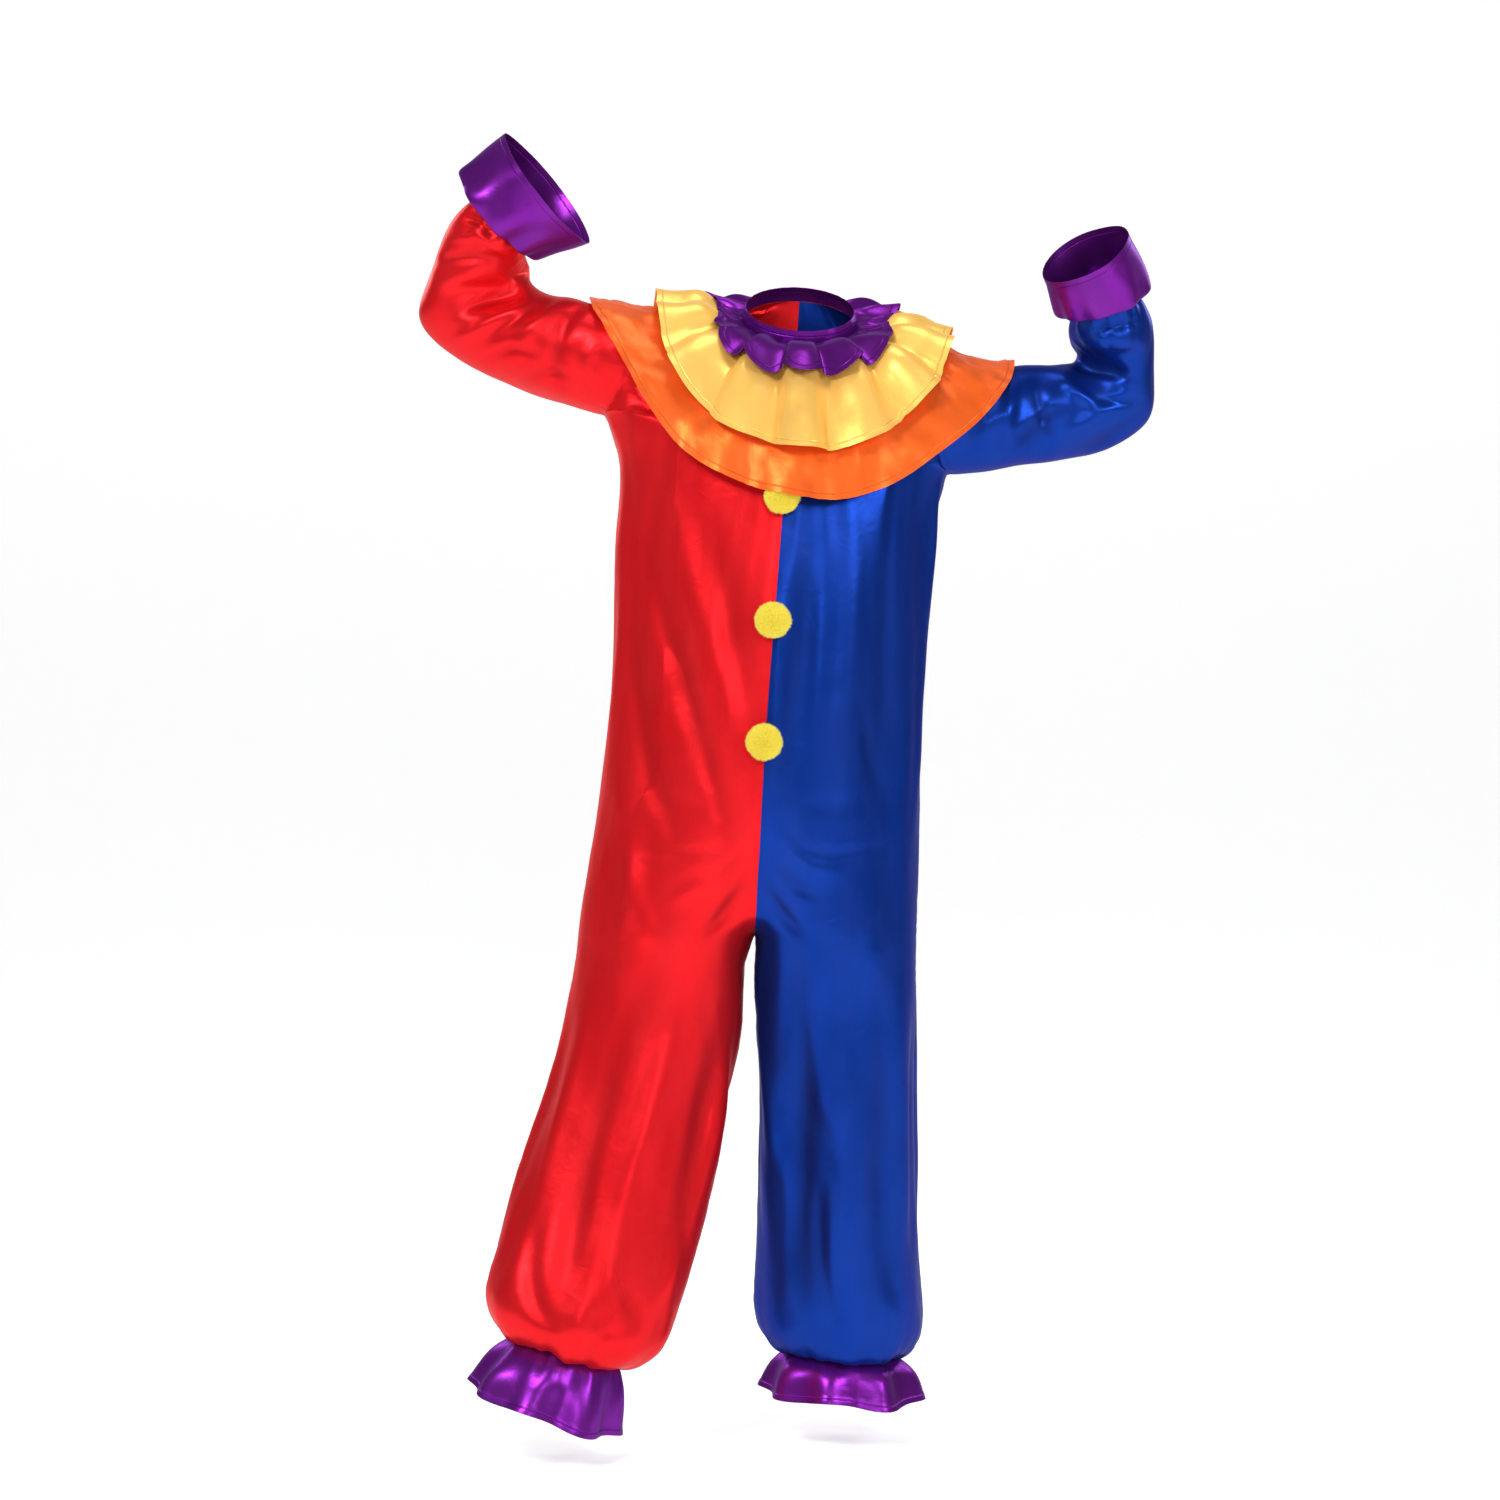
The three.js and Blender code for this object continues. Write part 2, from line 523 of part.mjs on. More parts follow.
// The panels and sleeves share their seam points, so their walls meet edge to edge.
function addBody() {
  const pieces = ["right", "left"].flatMap((half) => [
    bodyPanel(half, "front"),
    bodyPanel(half, "back"),
    sleeve(half),
  ]);
  const smoothOut = outwardDirections(pieces);
  pieces.forEach(({ grid, face, isTube }, k) => {
    const lastRow = grid.length - 1;
    const lastColumn = grid[0].length - 1;
    grid.forEach((row, i) =>
      row.forEach((p, j) => {
        const fromSide = isTube ? 1 : smooth((5 * Math.min(j, lastColumn - j)) / lastColumn);
        const fromEnd = clamp01(Math.min(i, lastRow - i) / 2);
        p.addScaledVector(smoothOut[k][i][j], foldHeight(p, face) * fromSide * fromEnd);
      }),
    );
  });
  const outwards = outwardDirections(pieces);
  pieces.forEach(({ name, half, grid, isTube }, k) => {
    const inner = insideOf(grid, outwards[k], WALL);
    for (const layer of [grid, inner]) {
      pullBack(layer[0], layer[1]);
      if (isTube) pullBack(layer[0], layer[1]);
      if (isTube) continue;
      pullBack(columnOf(layer, 0), columnOf(layer, 1));
      pullBack(columnOf(layer, PANEL_COLUMNS), columnOf(layer, PANEL_COLUMNS - 1));
    }
    addPiece(name, wallGeometry(grid, inner, isTube), half === "left" ? BLUE : RED);
  });
}

function addFrill(name, grid, turn) {
  const [outwards] = outwardDirections([{ grid, isTube: true, turn }]);
  const inner = insideOf(grid, outwards, FRILL_WALL);
  addPiece(name, wallGeometry(grid, inner, true), PURPLE);
}

// A wrist frill starts just inside the gathered end of its sleeve, turns back a little over it and
// flares to the hem.
function addWristFrill(half) {
  const cuffEnd = SLEEVES[half].at(-1);
  const { toHand } = ringAxes(cuffEnd);
  const start = point(cuffEnd.x, cuffEnd.y, cuffEnd.z).addScaledVector(toHand, WRIST_FRILL_GAP);
  const gathered = {
    ...cuffEnd,
    x: start.x,
    y: start.y,
    z: start.z,
    half: cuffEnd.half - FRILL_INSET,
    depth: cuffEnd.depth - FRILL_INSET,
  };
  const rings = [gathered, ...WRIST_FRILLS[half]];
  const grid = rings.map((ring, i) => {
    const share = i / (rings.length - 1);
    return Array.from({ length: FRILL_COLUMNS }, (_, j) => {
      const a = (2 * Math.PI * j) / FRILL_COLUMNS;
      const halfway = Math.sin(Math.PI * share);
      return armRingPoint(ring, a, halfway * gathers(a, WRIST_GATHERS) + share * gathers(a, WRIST_HEM));
    });
  });
  addFrill(`${half}_wrist_frill`, grid, half === "left" ? -1 : 1);
}

// An ankle frill starts just inside the gathered end of its leg. Angle 0 is in front, 90 degrees at the
// wearer's left.
function addAnkleFrill(half) {
  const legEnd = LEGS[half].at(-1);
  const gathered = {
    ...legEnd,
    z: legEnd.z - SEAM_GAP,
    half: legEnd.half - FRILL_INSET,
    front: legEnd.front - FRILL_INSET,
    back: legEnd.back - FRILL_INSET,
  };
  const rings = [gathered, ...ANKLE_FRILLS[half]];
  const grid = rings.map((ring, i) => {
    const share = i / (rings.length - 1);
    const tilt = ring.tilt * DEG;
    return Array.from({ length: FRILL_COLUMNS }, (_, j) => {
      const a = (2 * Math.PI * j) / FRILL_COLUMNS;
      const fullness = 1 + smooth(share) * gathers(a, ANKLE_GATHERS);
      const depth = Math.cos(a) > 0 ? ring.front : ring.back;
      const across = ring.half * Math.sin(a) * fullness;
      const hemWave = share === 1 ? ANKLE_HEM.high * ripple(a, ANKLE_HEM) : 0;
      return point(
        ring.x + across * Math.cos(tilt),
        ring.y - depth * Math.cos(a) * fullness,
        ring.z - across * Math.sin(tilt) + hemWave,
      );
    });
  });
  addFrill(`${half}_ankle_frill`, grid, -1);
}

// The surface that all collar tiers follow, from the neck seam (t = 0) to the widest tier's edge (t = 1).
function collarSurface(angle, t) {
  const start = neckSeam(angle);
  const front = Math.cos(angle) > 0;
  const cos = Math.abs(Math.cos(angle));
  const across = COLLAR.across * Math.sin(angle);
  const dip = HEM_DIP.drop * Math.exp(-(((angle / DEG - HEM_DIP.angle) / HEM_DIP.wide) ** 2));
  const fall = (front ? COLLAR.frontDrop : COLLAR.backDrop) * cos ** COLLAR.edgePower + dip;
  const drop = COLLAR.sideDrop - fall;
  const reach = (front ? -COLLAR.frontReach : COLLAR.backReach) * cos ** COLLAR.reachPower;
  const edge = point(across, reach, drop + SHOULDER_SLOPE * across);
  const a = (t * Math.PI) / 2;
  const round = point(
    start.x + (edge.x - start.x) * Math.sin(a),
    start.y + (edge.y - start.y) * Math.sin(a),
    edge.z + (start.z - edge.z) * Math.cos(a),
  );
  const straight = pointMix(start, edge, (1 - Math.cos(a) + Math.sin(a)) / 2);
  return pointMix(straight, round, mix(COLLAR.sideBulge, front ? COLLAR.frontBulge : COLLAR.backBulge, cos));
}

// Away from the body: along the neck's axis at the neck seam, turning to square with the surface
// further out.
function collarOut(angle, t) {
  const step = 0.01;
  const across = collarSurface(angle + step, t).sub(collarSurface(angle - step, t));
  const along = collarSurface(angle, Math.min(1, t + step)).sub(collarSurface(angle, Math.max(0, t - step)));
  const square = along.cross(across).normalize();
  const axis = neckSeam(angle, 0, 1).sub(neckSeam(angle));
  return pointMix(axis, square, smooth(t / 0.2)).normalize();
}

const reachAt = (reach, angle) => {
  const cos = Math.cos(angle);
  return mix(reach.side, cos > 0 ? reach.front : reach.back, cos * cos);
};

// Heights of the tiers' undersides over the collar surface. Each one clears the tier below it.
function heightOverBelow(tier, angle, t) {
  const wave = tier.high * smooth(t / tier.fullAt) * (1 + ripple(angle, tier));
  return TIER_GAP + tier.lift * smooth(t / LIFT_ENDS_AT) + wave;
}
function orangeHeight(angle, t) {
  const { high, wide, startsAt, fullAt } = POMPOM_TENT;
  const tent = high * Math.exp(-((angle / (wide * DEG)) ** 2)) * smooth((t - startsAt) / (fullAt - startsAt));
  return heightOverBelow(TIERS.orange, angle, t) + tent;
}
function yellowHeight(angle, t) {
  return orangeHeight(angle, t) + FRILL_WALL + heightOverBelow(TIERS.yellow, angle, t);
}
function ruffleHeight(angle, t) {
  return yellowHeight(angle, t) + FRILL_WALL + heightOverBelow(TIERS.ruffle, angle, t);
}

function addTier(name, heightOf, reachOf, rows, columns, color) {
  const outer = [];
  const inner = [];
  for (let i = 0; i <= rows; i++) {
    const outerRow = [];
    const innerRow = [];
    for (let j = 0; j < columns; j++) {
      const angle = (2 * Math.PI * j) / columns - Math.PI;
      const t = (i / rows) * reachOf(angle);
      const base = collarSurface(angle, t);
      const out = collarOut(angle, t);
      const height = heightOf(angle, t);
      innerRow.push(base.clone().addScaledVector(out, height));
      outerRow.push(base.clone().addScaledVector(out, height + FRILL_WALL));
    }
    outer.push(outerRow);
    inner.push(innerRow);
  }
  addPiece(name, wallGeometry(outer, inner, true), color);
}

function addNeckBand() {
  const ringOf = (inset, lift) =>
    Array.from({ length: BAND_COLUMNS }, (_, j) => neckSeam((2 * Math.PI * j) / BAND_COLUMNS, inset, lift));
  const rows = [
    { lift: BAND_LIFT, inset: BAND_CLEARANCE },
    { lift: BAND_HEIGHT / 2, inset: BAND_CLEARANCE },
    { lift: BAND_HEIGHT, inset: BAND_CLEARANCE + BAND_TAPER },
  ];
  const outer = rows.map((row) => ringOf(row.inset, row.lift));
  const inner = rows.map((row) => ringOf(row.inset + WALL, row.lift));
  addPiece("neck_band", wallGeometry(outer, inner, true), PURPLE);
}

// A ball of short three-sided locks on a core. Its back is flattened where it is sewn to the middle seam.
function addPompom(name, row) {
  const core = new THREE.IcosahedronGeometry(1, 1);
  const corner = core.getAttribute("position");
  const wide = POMPOM_WIDTH / 2 - POMPOM_LOCK;
  const deep = row.deep / 2 - POMPOM_LOCK;
  const torso = torsoRow(row.z);
  const backAt = -torso.front - SEAM_GAP;
  const centre = point(torso.mid, backAt - row.deep / 2, row.z);
  const onBall = (direction, longer) =>
    direction
      .clone()
      .multiply(point(wide + longer, deep + longer, wide + longer))
      .add(centre);
  const flattened = (p) => point(p.x, p.y > backAt - 2 * POMPOM_LOCK ? backAt : p.y, p.z);
  const positions = [];
  for (let f = 0; f < corner.count; f += 3) {
    const corners = [0, 1, 2].map((k) => point().fromBufferAttribute(corner, f + k).normalize());
    const base = corners.map((c) => flattened(onBall(c, 0)));
    const middle = corners[0].clone().add(corners[1]).add(corners[2]).normalize();
    const isSewn = base.every((p) => p.y === backAt);
    const tip = onBall(middle, POMPOM_LOCK);
    tip.y = Math.min(tip.y, backAt);
    const faces = isSewn ? [base] : [0, 1, 2].map((k) => [base[k], base[(k + 1) % 3], tip]);
    for (const face of faces) for (const p of face) positions.push(p.x, p.y, p.z);
  }
  const index = Array.from({ length: positions.length / 3 }, (_, i) => i);
  const geometry = new THREE.BufferGeometry();
  geometry.setAttribute("position", new THREE.Float32BufferAttribute(positions, 3));
  geometry.setIndex(facingOut(positions, index));
  addPiece(name, geometry, POMPOM_YELLOW, 0.9);
}

addBody();
for (const half of ["right", "left"]) {
  addWristFrill(half);
  addAnkleFrill(half);
}
addTier("orange_tier", orangeHeight, () => 1, 4, TIER_COLUMNS, ORANGE);
addTier("yellow_tier", yellowHeight, (angle) => reachAt(YELLOW_REACH, angle), 4, TIER_COLUMNS, YELLOW);
addTier("neck_ruffle", ruffleHeight, (angle) => reachAt(RUFFLE_REACH, angle), 2, RUFFLE_COLUMNS, PURPLE);
addNeckBand();
POMPOMS.forEach((row, i) => addPompom(`pompom_${i + 1}`, row));

export default costume;
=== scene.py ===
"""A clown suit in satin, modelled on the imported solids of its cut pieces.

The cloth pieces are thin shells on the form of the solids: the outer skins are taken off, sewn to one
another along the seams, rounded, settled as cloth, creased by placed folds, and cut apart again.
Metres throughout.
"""

import json
import math
import random

import bmesh
import bpy
import numpy as np
from mathutils import Matrix, Vector, noise
from mathutils.bvhtree import BVHTree
from mathutils.kdtree import KDTree

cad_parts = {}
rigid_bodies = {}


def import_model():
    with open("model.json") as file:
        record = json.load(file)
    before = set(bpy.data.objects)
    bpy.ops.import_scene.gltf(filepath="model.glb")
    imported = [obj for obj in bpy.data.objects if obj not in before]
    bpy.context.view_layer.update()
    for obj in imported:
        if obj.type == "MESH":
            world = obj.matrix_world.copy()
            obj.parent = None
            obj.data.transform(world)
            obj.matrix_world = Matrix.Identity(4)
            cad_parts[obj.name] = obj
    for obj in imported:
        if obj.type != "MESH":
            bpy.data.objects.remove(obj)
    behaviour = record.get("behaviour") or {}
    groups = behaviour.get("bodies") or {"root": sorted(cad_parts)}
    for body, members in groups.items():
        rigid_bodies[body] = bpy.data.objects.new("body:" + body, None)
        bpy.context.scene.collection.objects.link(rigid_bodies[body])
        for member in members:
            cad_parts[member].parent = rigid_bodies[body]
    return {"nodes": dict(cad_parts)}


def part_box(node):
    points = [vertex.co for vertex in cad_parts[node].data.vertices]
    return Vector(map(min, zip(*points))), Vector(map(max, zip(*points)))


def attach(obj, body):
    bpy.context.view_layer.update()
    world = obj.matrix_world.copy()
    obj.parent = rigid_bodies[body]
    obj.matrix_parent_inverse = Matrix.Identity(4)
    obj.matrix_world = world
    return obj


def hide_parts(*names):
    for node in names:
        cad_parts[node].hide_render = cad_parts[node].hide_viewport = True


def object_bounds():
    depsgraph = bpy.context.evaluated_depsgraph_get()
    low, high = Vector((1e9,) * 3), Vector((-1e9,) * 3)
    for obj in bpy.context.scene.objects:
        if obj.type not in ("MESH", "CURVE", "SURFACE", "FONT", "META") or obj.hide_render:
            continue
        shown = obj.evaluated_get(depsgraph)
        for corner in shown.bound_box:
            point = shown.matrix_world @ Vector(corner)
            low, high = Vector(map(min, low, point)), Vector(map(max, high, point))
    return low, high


bl_info = {
    "name": "Clown Suit",
    "version": (1, 0, 0),
    "blender": (4, 5, 0),
    "location": "View3D > Sidebar > Clown Suit",
    "description": "Models a gathered satin clown suit on its packed solids",
    "category": "Object",
}

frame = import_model()
NODES = frame["nodes"]
CAD_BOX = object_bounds()

# The photograph's scale and centre line, used to place folds: metres for each pixel, and the pixel of
# the origin.
METRES_PER_PIXEL = 0.00128
ORIGIN_PIXEL = (800, 310)

BODY_PIECES = {
    "right_front_panel": "red_satin",
    "right_back_panel": "red_satin",
    "right_sleeve": "red_satin",
    "left_front_panel": "blue_satin",
    "left_back_panel": "blue_satin",
    "left_sleeve": "blue_satin",
}

# Walls of the solids: the panels and sleeves, and the frills and tiers. The band's rim has edges shorter
# than its own limit.
PANEL_WALL = 0.002
FRILL_WALL = 0.0015
BAND_WALL_LIMIT = 0.0035

# Points nearer than MERGE are one point, and edges of two pieces nearer than SEAM_WELD are one seam.
MERGE = 0.00002
SEAM_WELD = 0.0016

# The height of the crotch, and the middle of the neck.
CROTCH = -0.79
NECK_MIDDLE = (0.0, 0.006, -0.018)

# The tiers from the bottom up: slot, rounding levels, then the gathers at the seam (count, height, how far
# out they reach), the waves over the whole width (count, height), the seed, and the slack and the cap of
# settling. The ruffle isn't settled.
TIERS = {
    "orange_tier": ("orange_satin", 2, (40, 0.0020, 0.6), (20, 0.0040), 11.0, 0.06, 0.010),
    "yellow_tier": ("yellow_satin", 2, (34, 0.0050, 0.7), (17, 0.0036), 12.0, 0.05, 0.007),
    "neck_ruffle": ("purple_satin", 3, (34, 0.0012, 0.4), (18, 0.0008), 13.0, 0.0, 0.0),
}
# Waves around a tier, how far the crests spread, how much higher they stand and how far they hang.
WAVES = {"yellow_tier": (15, 0.45, 0.0035, 0.004), "neck_ruffle": (18, 0.75, 0.0, 0.019)}

# How far each tier stands up in the middle over the shoulders, and how far the lowest sags there.
PUFFS = {"orange_tier": 0.003, "yellow_tier": 0.010, "neck_ruffle": 0.0}
SHOULDER_SAG = 0.012

# How deep the placed folds are made, and how much of the settling is taken back on the sleeves.
SLEEVE_DEPTH = 1.4
BODY_DEPTH = 1.2
SLEEVE_CALM = 0.8

# The section of a fold: how deep its return is, how fast it falls off, and the share of its length that each
# end takes to fade out.
FOLD_RETURN = 0.42
FOLD_FALL = 0.62
FOLD_ENDS = 0.42

# Edges sharper than this stay sharp in the finished cloth.
SHARP = math.radians(55)

# The gathers at the elastics: count, height, how far they reach and the seed.
ELASTICS = {
    "right ankle": (22, 0.0075, 0.036, 1.0),
    "left ankle": (22, 0.0075, 0.036, 2.0),
    "right wrist": (11, 0.0036, 0.030, 3.0),
    "left wrist": (11, 0.0036, 0.030, 4.0),
}

# The frills: the middle of the elastic, the piece that each hangs from, the seed, the count of gathers and
# their height.
FRILLS = {
    "right_wrist_frill": ((-0.372, -0.03, 0.122), "right_sleeve", 31.0, 10, 0.0016),
    "left_wrist_frill": ((0.380, -0.054, 0.012), "left_sleeve", 32.0, 10, 0.0016),
    "right_ankle_frill": ((-0.290, -0.100, -1.290), "right_front_panel", 33.0, 18, 0.0046),
    "left_ankle_frill": ((0.052, 0.015, -1.314), "left_front_panel", 34.0, 18, 0.0046),
}

# A rolled hem: how much it stands out and how wide it is. Its row of stitches lies a little further in.
HEM_RISE = 0.0007
HEM_WIDTH = 0.006
HEM_STITCH = 0.0075

# The tufts of one pompom, and how far from its flat side they start.
TUFTS = 5200
SEWN_GAP = 0.003

# The middle of the view, across and up, the width of the view at the suit, and where the lamps point.
VIEW_MIDDLE = (-0.064, -0.563)
VIEW_WIDTH = 1.92
LIT_MIDDLE = (-0.05, 0.0, -0.62)

# The lamps: place, width and power.
LAMPS = {
    "key": ((-1.9, -3.0, 1.7), 0.9, 84),
    "fill": ((2.5, -2.6, 0.7), 0.9, 46),
    "front": ((0.4, -4.4, 0.4), 0.8, 26),
    "top": ((0.2, -0.2, 2.4), 1.2, 20),
    "back left": ((-2.4, 2.6, 1.2), 1.2, 30),
    "back right": ((2.6, 2.4, 1.0), 1.2, 30),
}

# The floor: its width, how far below the suit it lies, and the height and the bend of the wall behind.
FLOOR_WIDTH = 16
FLOOR_GAP = 0.03
BACK_WALL = 9
WALL_BEND = 3.0


def smooth(t):
    """A soft step from 0 to 1."""
    t = np.clip(t, 0.0, 1.0)
    return t * t * (3.0 - 2.0 * t)


def only(obj):
    """Selects one object and nothing else."""
    for other in bpy.context.view_layer.objects:
        other.select_set(False)
    obj.select_set(True)
    bpy.context.view_layer.objects.active = obj


def new_object(name, mesh):
    """Links a mesh to the scene under a piece's name."""
    obj = bpy.data.objects.new(name, mesh)
    bpy.context.scene.collection.objects.link(obj)
    return obj


def apply_modifier(obj, kind, **settings):
    """Adds a modifier with its settings and applies it."""
    only(obj)
    modifier = obj.modifiers.new(kind.title(), kind)
    for key, value in settings.items():
        setattr(modifier, key, value)
    bpy.ops.object.modifier_apply(modifier=modifier.name)


def points_of(mesh):
    """The vertices of a mesh as an array."""
    co = np.empty(len(mesh.vertices) * 3)
    mesh.vertices.foreach_get("co", co)
    return co.reshape(-1, 3)


def normals_of(mesh):
    """The vertex normals of a mesh as an array."""
    normals = np.empty(len(mesh.vertices) * 3)
    mesh.vertex_normals.foreach_get("vector", normals)
    return normals.reshape(-1, 3)


def place_points(mesh, co):
    """Puts the vertices of a mesh where an array says."""
    mesh.vertices.foreach_set("co", np.ascontiguousarray(co).ravel())
    mesh.update()


def face_parts(bm):
    """The connected groups of faces of a bmesh."""
    left = set(bm.faces)
    parts = []
    while left:
        stack = [left.pop()]
        part = []
        while stack:
            face = stack.pop()
            part.append(face)
            for edge in face.edges:
                for other in edge.link_faces:
                    if other in left:
                        left.remove(other)
                        stack.append(other)
        parts.append(part)
    return parts


def outward_flux(faces):
    """How much a group of faces points away from its own middle."""
    middle = Vector()
    area = 0.0
    for face in faces:
        middle += face.calc_center_median() * face.calc_area()
        area += face.calc_area()
    middle /= area
    return sum((f.calc_center_median() - middle).dot(f.normal) * f.calc_area() for f in faces)


def outer_skin(node):
    """The outer skin of a cut piece, as quads, from a copy of its solid."""
    wall = PANEL_WALL if node in BODY_PIECES else FRILL_WALL
    bm = bmesh.new()
    bm.from_mesh(NODES[node].data)
    bmesh.ops.remove_doubles(bm, verts=bm.verts, dist=MERGE)
    rim = set()
    for edge in bm.edges:
        if node == "neck_band" and edge.calc_length() < BAND_WALL_LIMIT:
            rim.update(edge.link_faces)
        elif abs(edge.calc_length() - wall) < MERGE:
            a, b = edge.verts
            along = (a.co - b.co).normalized()
            if abs(along.dot(a.normal)) + abs(along.dot(b.normal)) > 0.5:
                rim.update(edge.link_faces)
    bmesh.ops.delete(bm, geom=list(rim), context="FACES_ONLY")
    parts = sorted(face_parts(bm), key=outward_flux)
    inner = [face for part in parts[:-1] for face in part]
    bmesh.ops.delete(bm, geom=inner, context="FACES")
    loose = [v for v in bm.verts if not v.link_faces]
    bmesh.ops.delete(bm, geom=loose, context="VERTS")
    bmesh.ops.join_triangles(
        bm,
        faces=bm.faces,
        angle_face_threshold=math.radians(60),
        angle_shape_threshold=math.radians(70),
    )
    return bm


def sewn_together(name, nodes):
    """One object of several outer skins, sewn where their edges meet. Material indices tell the pieces."""
    joined = bmesh.new()
    for index, node in enumerate(nodes):
        skin = outer_skin(node)
        copies = {v: joined.verts.new(v.co) for v in skin.verts}
        for face in skin.faces:
            joined.faces.new([copies[v] for v in face.verts]).material_index = index
        skin.free()
    edge_points = [v for v in joined.verts if any(e.is_boundary for e in v.link_edges)]
    bmesh.ops.remove_doubles(joined, verts=edge_points, dist=SEAM_WELD)
    mesh = bpy.data.meshes.new(name)
    joined.to_mesh(mesh)
    joined.free()
    return new_object(name, mesh)


def rounded(obj, levels):
    """Subdivides a skin into a smooth surface that still passes through its own points."""
    wanted = points_of(obj.data)
    base = wanted.copy()
    modifier = obj.modifiers.new("Round", "SUBSURF")
    modifier.levels = levels
    modifier.render_levels = levels
    for _ in range(2):
        graph = bpy.context.evaluated_depsgraph_get()
        made = points_of(obj.evaluated_get(graph).data)[: len(base)]
        base += wanted - made
        place_points(obj.data, base)
        bpy.context.view_layer.update()
    only(obj)
    bpy.ops.object.modifier_apply(modifier=modifier.name)


def resting_form(mesh, inset):
    """A form a little inside a skin, for cloth to settle on."""
    form = new_object("form", mesh.copy())
    co = points_of(form.data) - normals_of(form.data) * inset
    place_points(form.data, co)
    only(form)
    bpy.ops.object.modifier_add(type="COLLISION")
    form.collision.thickness_outer = 0.002
    form.collision.cloth_friction = 12.0
    form.collision.damping = 0.5
    return form


def settle(obj, held, form, slack, frames, cap):
    """Lets the cloth settle under its own weight with a little slack, no point moving past the cap."""
    before = points_of(obj.data)
    group = obj.vertex_groups.new(name="held")
    for index, weight in enumerate(held):
        if weight > 0:
            group.add([index], float(weight), "REPLACE")
    cloth = obj.modifiers.new("Cloth", "CLOTH")
    values = cloth.settings
    values.quality = 6
    values.mass = 0.2
    values.air_damping = 2.0
    values.tension_stiffness = 25.0
    values.compression_stiffness = 12.0
    values.shear_stiffness = 8.0
    values.bending_stiffness = 0.08
    values.tension_damping = 10.0
    values.compression_damping = 10.0
    values.shear_damping = 10.0
    values.shrink_min = -slack
    values.vertex_group_mass = "held"
    values.pin_stiffness = 1.0
    cloth.collision_settings.collision_quality = 2
    cloth.collision_settings.distance_min = 0.002
    cloth.point_cache.frame_start = 1
    cloth.point_cache.frame_end = frames
    scene = bpy.context.scene
    for number in range(1, frames + 1):
        scene.frame_set(number)
    only(obj)
    bpy.ops.object.modifier_apply(modifier=cloth.name)
    scene.frame_set(1)
    obj.vertex_groups.clear()
    bpy.data.objects.remove(form)
    moved = points_of(obj.data) - before
    far = np.linalg.norm(moved, axis=1)
    share = cap * np.tanh(far / cap) / np.maximum(far, 1e-9)
    place_points(obj.data, before + moved * share[:, None])


class Skin:
    """A fine cloth surface being shaped: its points, normals, edges and pieces."""

    def __init__(self, obj):
        self.obj = obj
        self.read()
        mesh = obj.data
        self.edges = np.empty(len(mesh.edges) * 2, dtype=np.int64)
        mesh.edges.foreach_get("vertices", self.edges)
        self.edges = self.edges.reshape(-1, 2)
        loops = np.empty(len(mesh.loops), dtype=np.int64)
        mesh.loops.foreach_get("edge_index", loops)
        owners = np.empty(len(mesh.polygons), dtype=np.int64)
        mesh.polygons.foreach_get("material_index", owners)
        sizes = np.empty(len(mesh.polygons), dtype=np.int64)
        mesh.polygons.foreach_get("loop_total", sizes)
        loop_owner = np.repeat(owners, sizes)
        count = np.bincount(loops, minlength=len(self.edges))
        lowest = np.full(len(self.edges), 99)
        highest = np.full(len(self.edges), -1)
        np.minimum.at(lowest, loops, loop_owner)
        np.maximum.at(highest, loops, loop_owner)
        self.boundary = self.edges[count == 1]
        self.seams = self.edges[lowest != highest]

    def read(self):
        """Takes the points and normals from the mesh again."""
        self.co = points_of(self.obj.data)
        self.normals = normals_of(self.obj.data)

    def push(self, height):
        """Moves every point along its normal."""
        place_points(self.obj.data, self.co + self.normals * np.asarray(height)[:, None])
        self.read()

    def relax(self, rounds, share):
        """Evens the surface out by moving each point towards its neighbours."""
        co = self.co.copy()
        held = np.zeros(len(co), dtype=bool)
        held[self.boundary.ravel()] = True
        degree = np.bincount(self.edges.ravel(), minlength=len(co))[:, None]
        for _ in range(rounds):
            total = np.zeros_like(co)
            np.add.at(total, self.edges[:, 0], co[self.edges[:, 1]])
            np.add.at(total, self.edges[:, 1], co[self.edges[:, 0]])
            moved = co + share * (total / degree - co)
            co = np.where(held[:, None], co, moved)
        place_points(self.obj.data, co)
        self.read()


def even_out(skin, axis, middle, reach, region):
    """Takes a ridge at one height out of the sides that face along an axis, inside a region."""
    fade = 0.09
    least_facing = 0.35
    batch = 500
    near = np.flatnonzero(np.abs(skin.co[:, 2] - middle) < reach + fade)
    co = skin.co[near]
    normals = skin.normals[near]
    depth = co[:, axis].copy()
    facing = np.sign(normals[:, axis])
    broad = (np.abs(normals[:, axis]) > least_facing) & region[near]
    for start in range(0, len(near), batch):
        rows = slice(start, start + batch)
        across = (co[rows, None, 1 - axis] - co[None, :, 1 - axis]) / 0.02
        along = (co[rows, None, 2] - co[None, :, 2]) / 0.05
        weight = np.exp(-(across**2) - along**2)
        weight *= (facing[rows, None] == facing[None, :]) & broad[None, :]
        total = weight.sum(1)
        mean = (weight @ co[:, axis]) / np.maximum(total, 1e-9)
        depth[rows] = np.where(total > 1e-6, mean, depth[rows])
    share = smooth((reach - np.abs(co[:, 2] - middle)) / fade)
    share *= smooth((np.abs(normals[:, axis]) - least_facing) / 0.4) * region[near]
    moved = skin.co.copy()
    moved[near, axis] = co[:, axis] + share * (depth - co[:, axis])
    place_points(skin.obj.data, moved)
    skin.read()


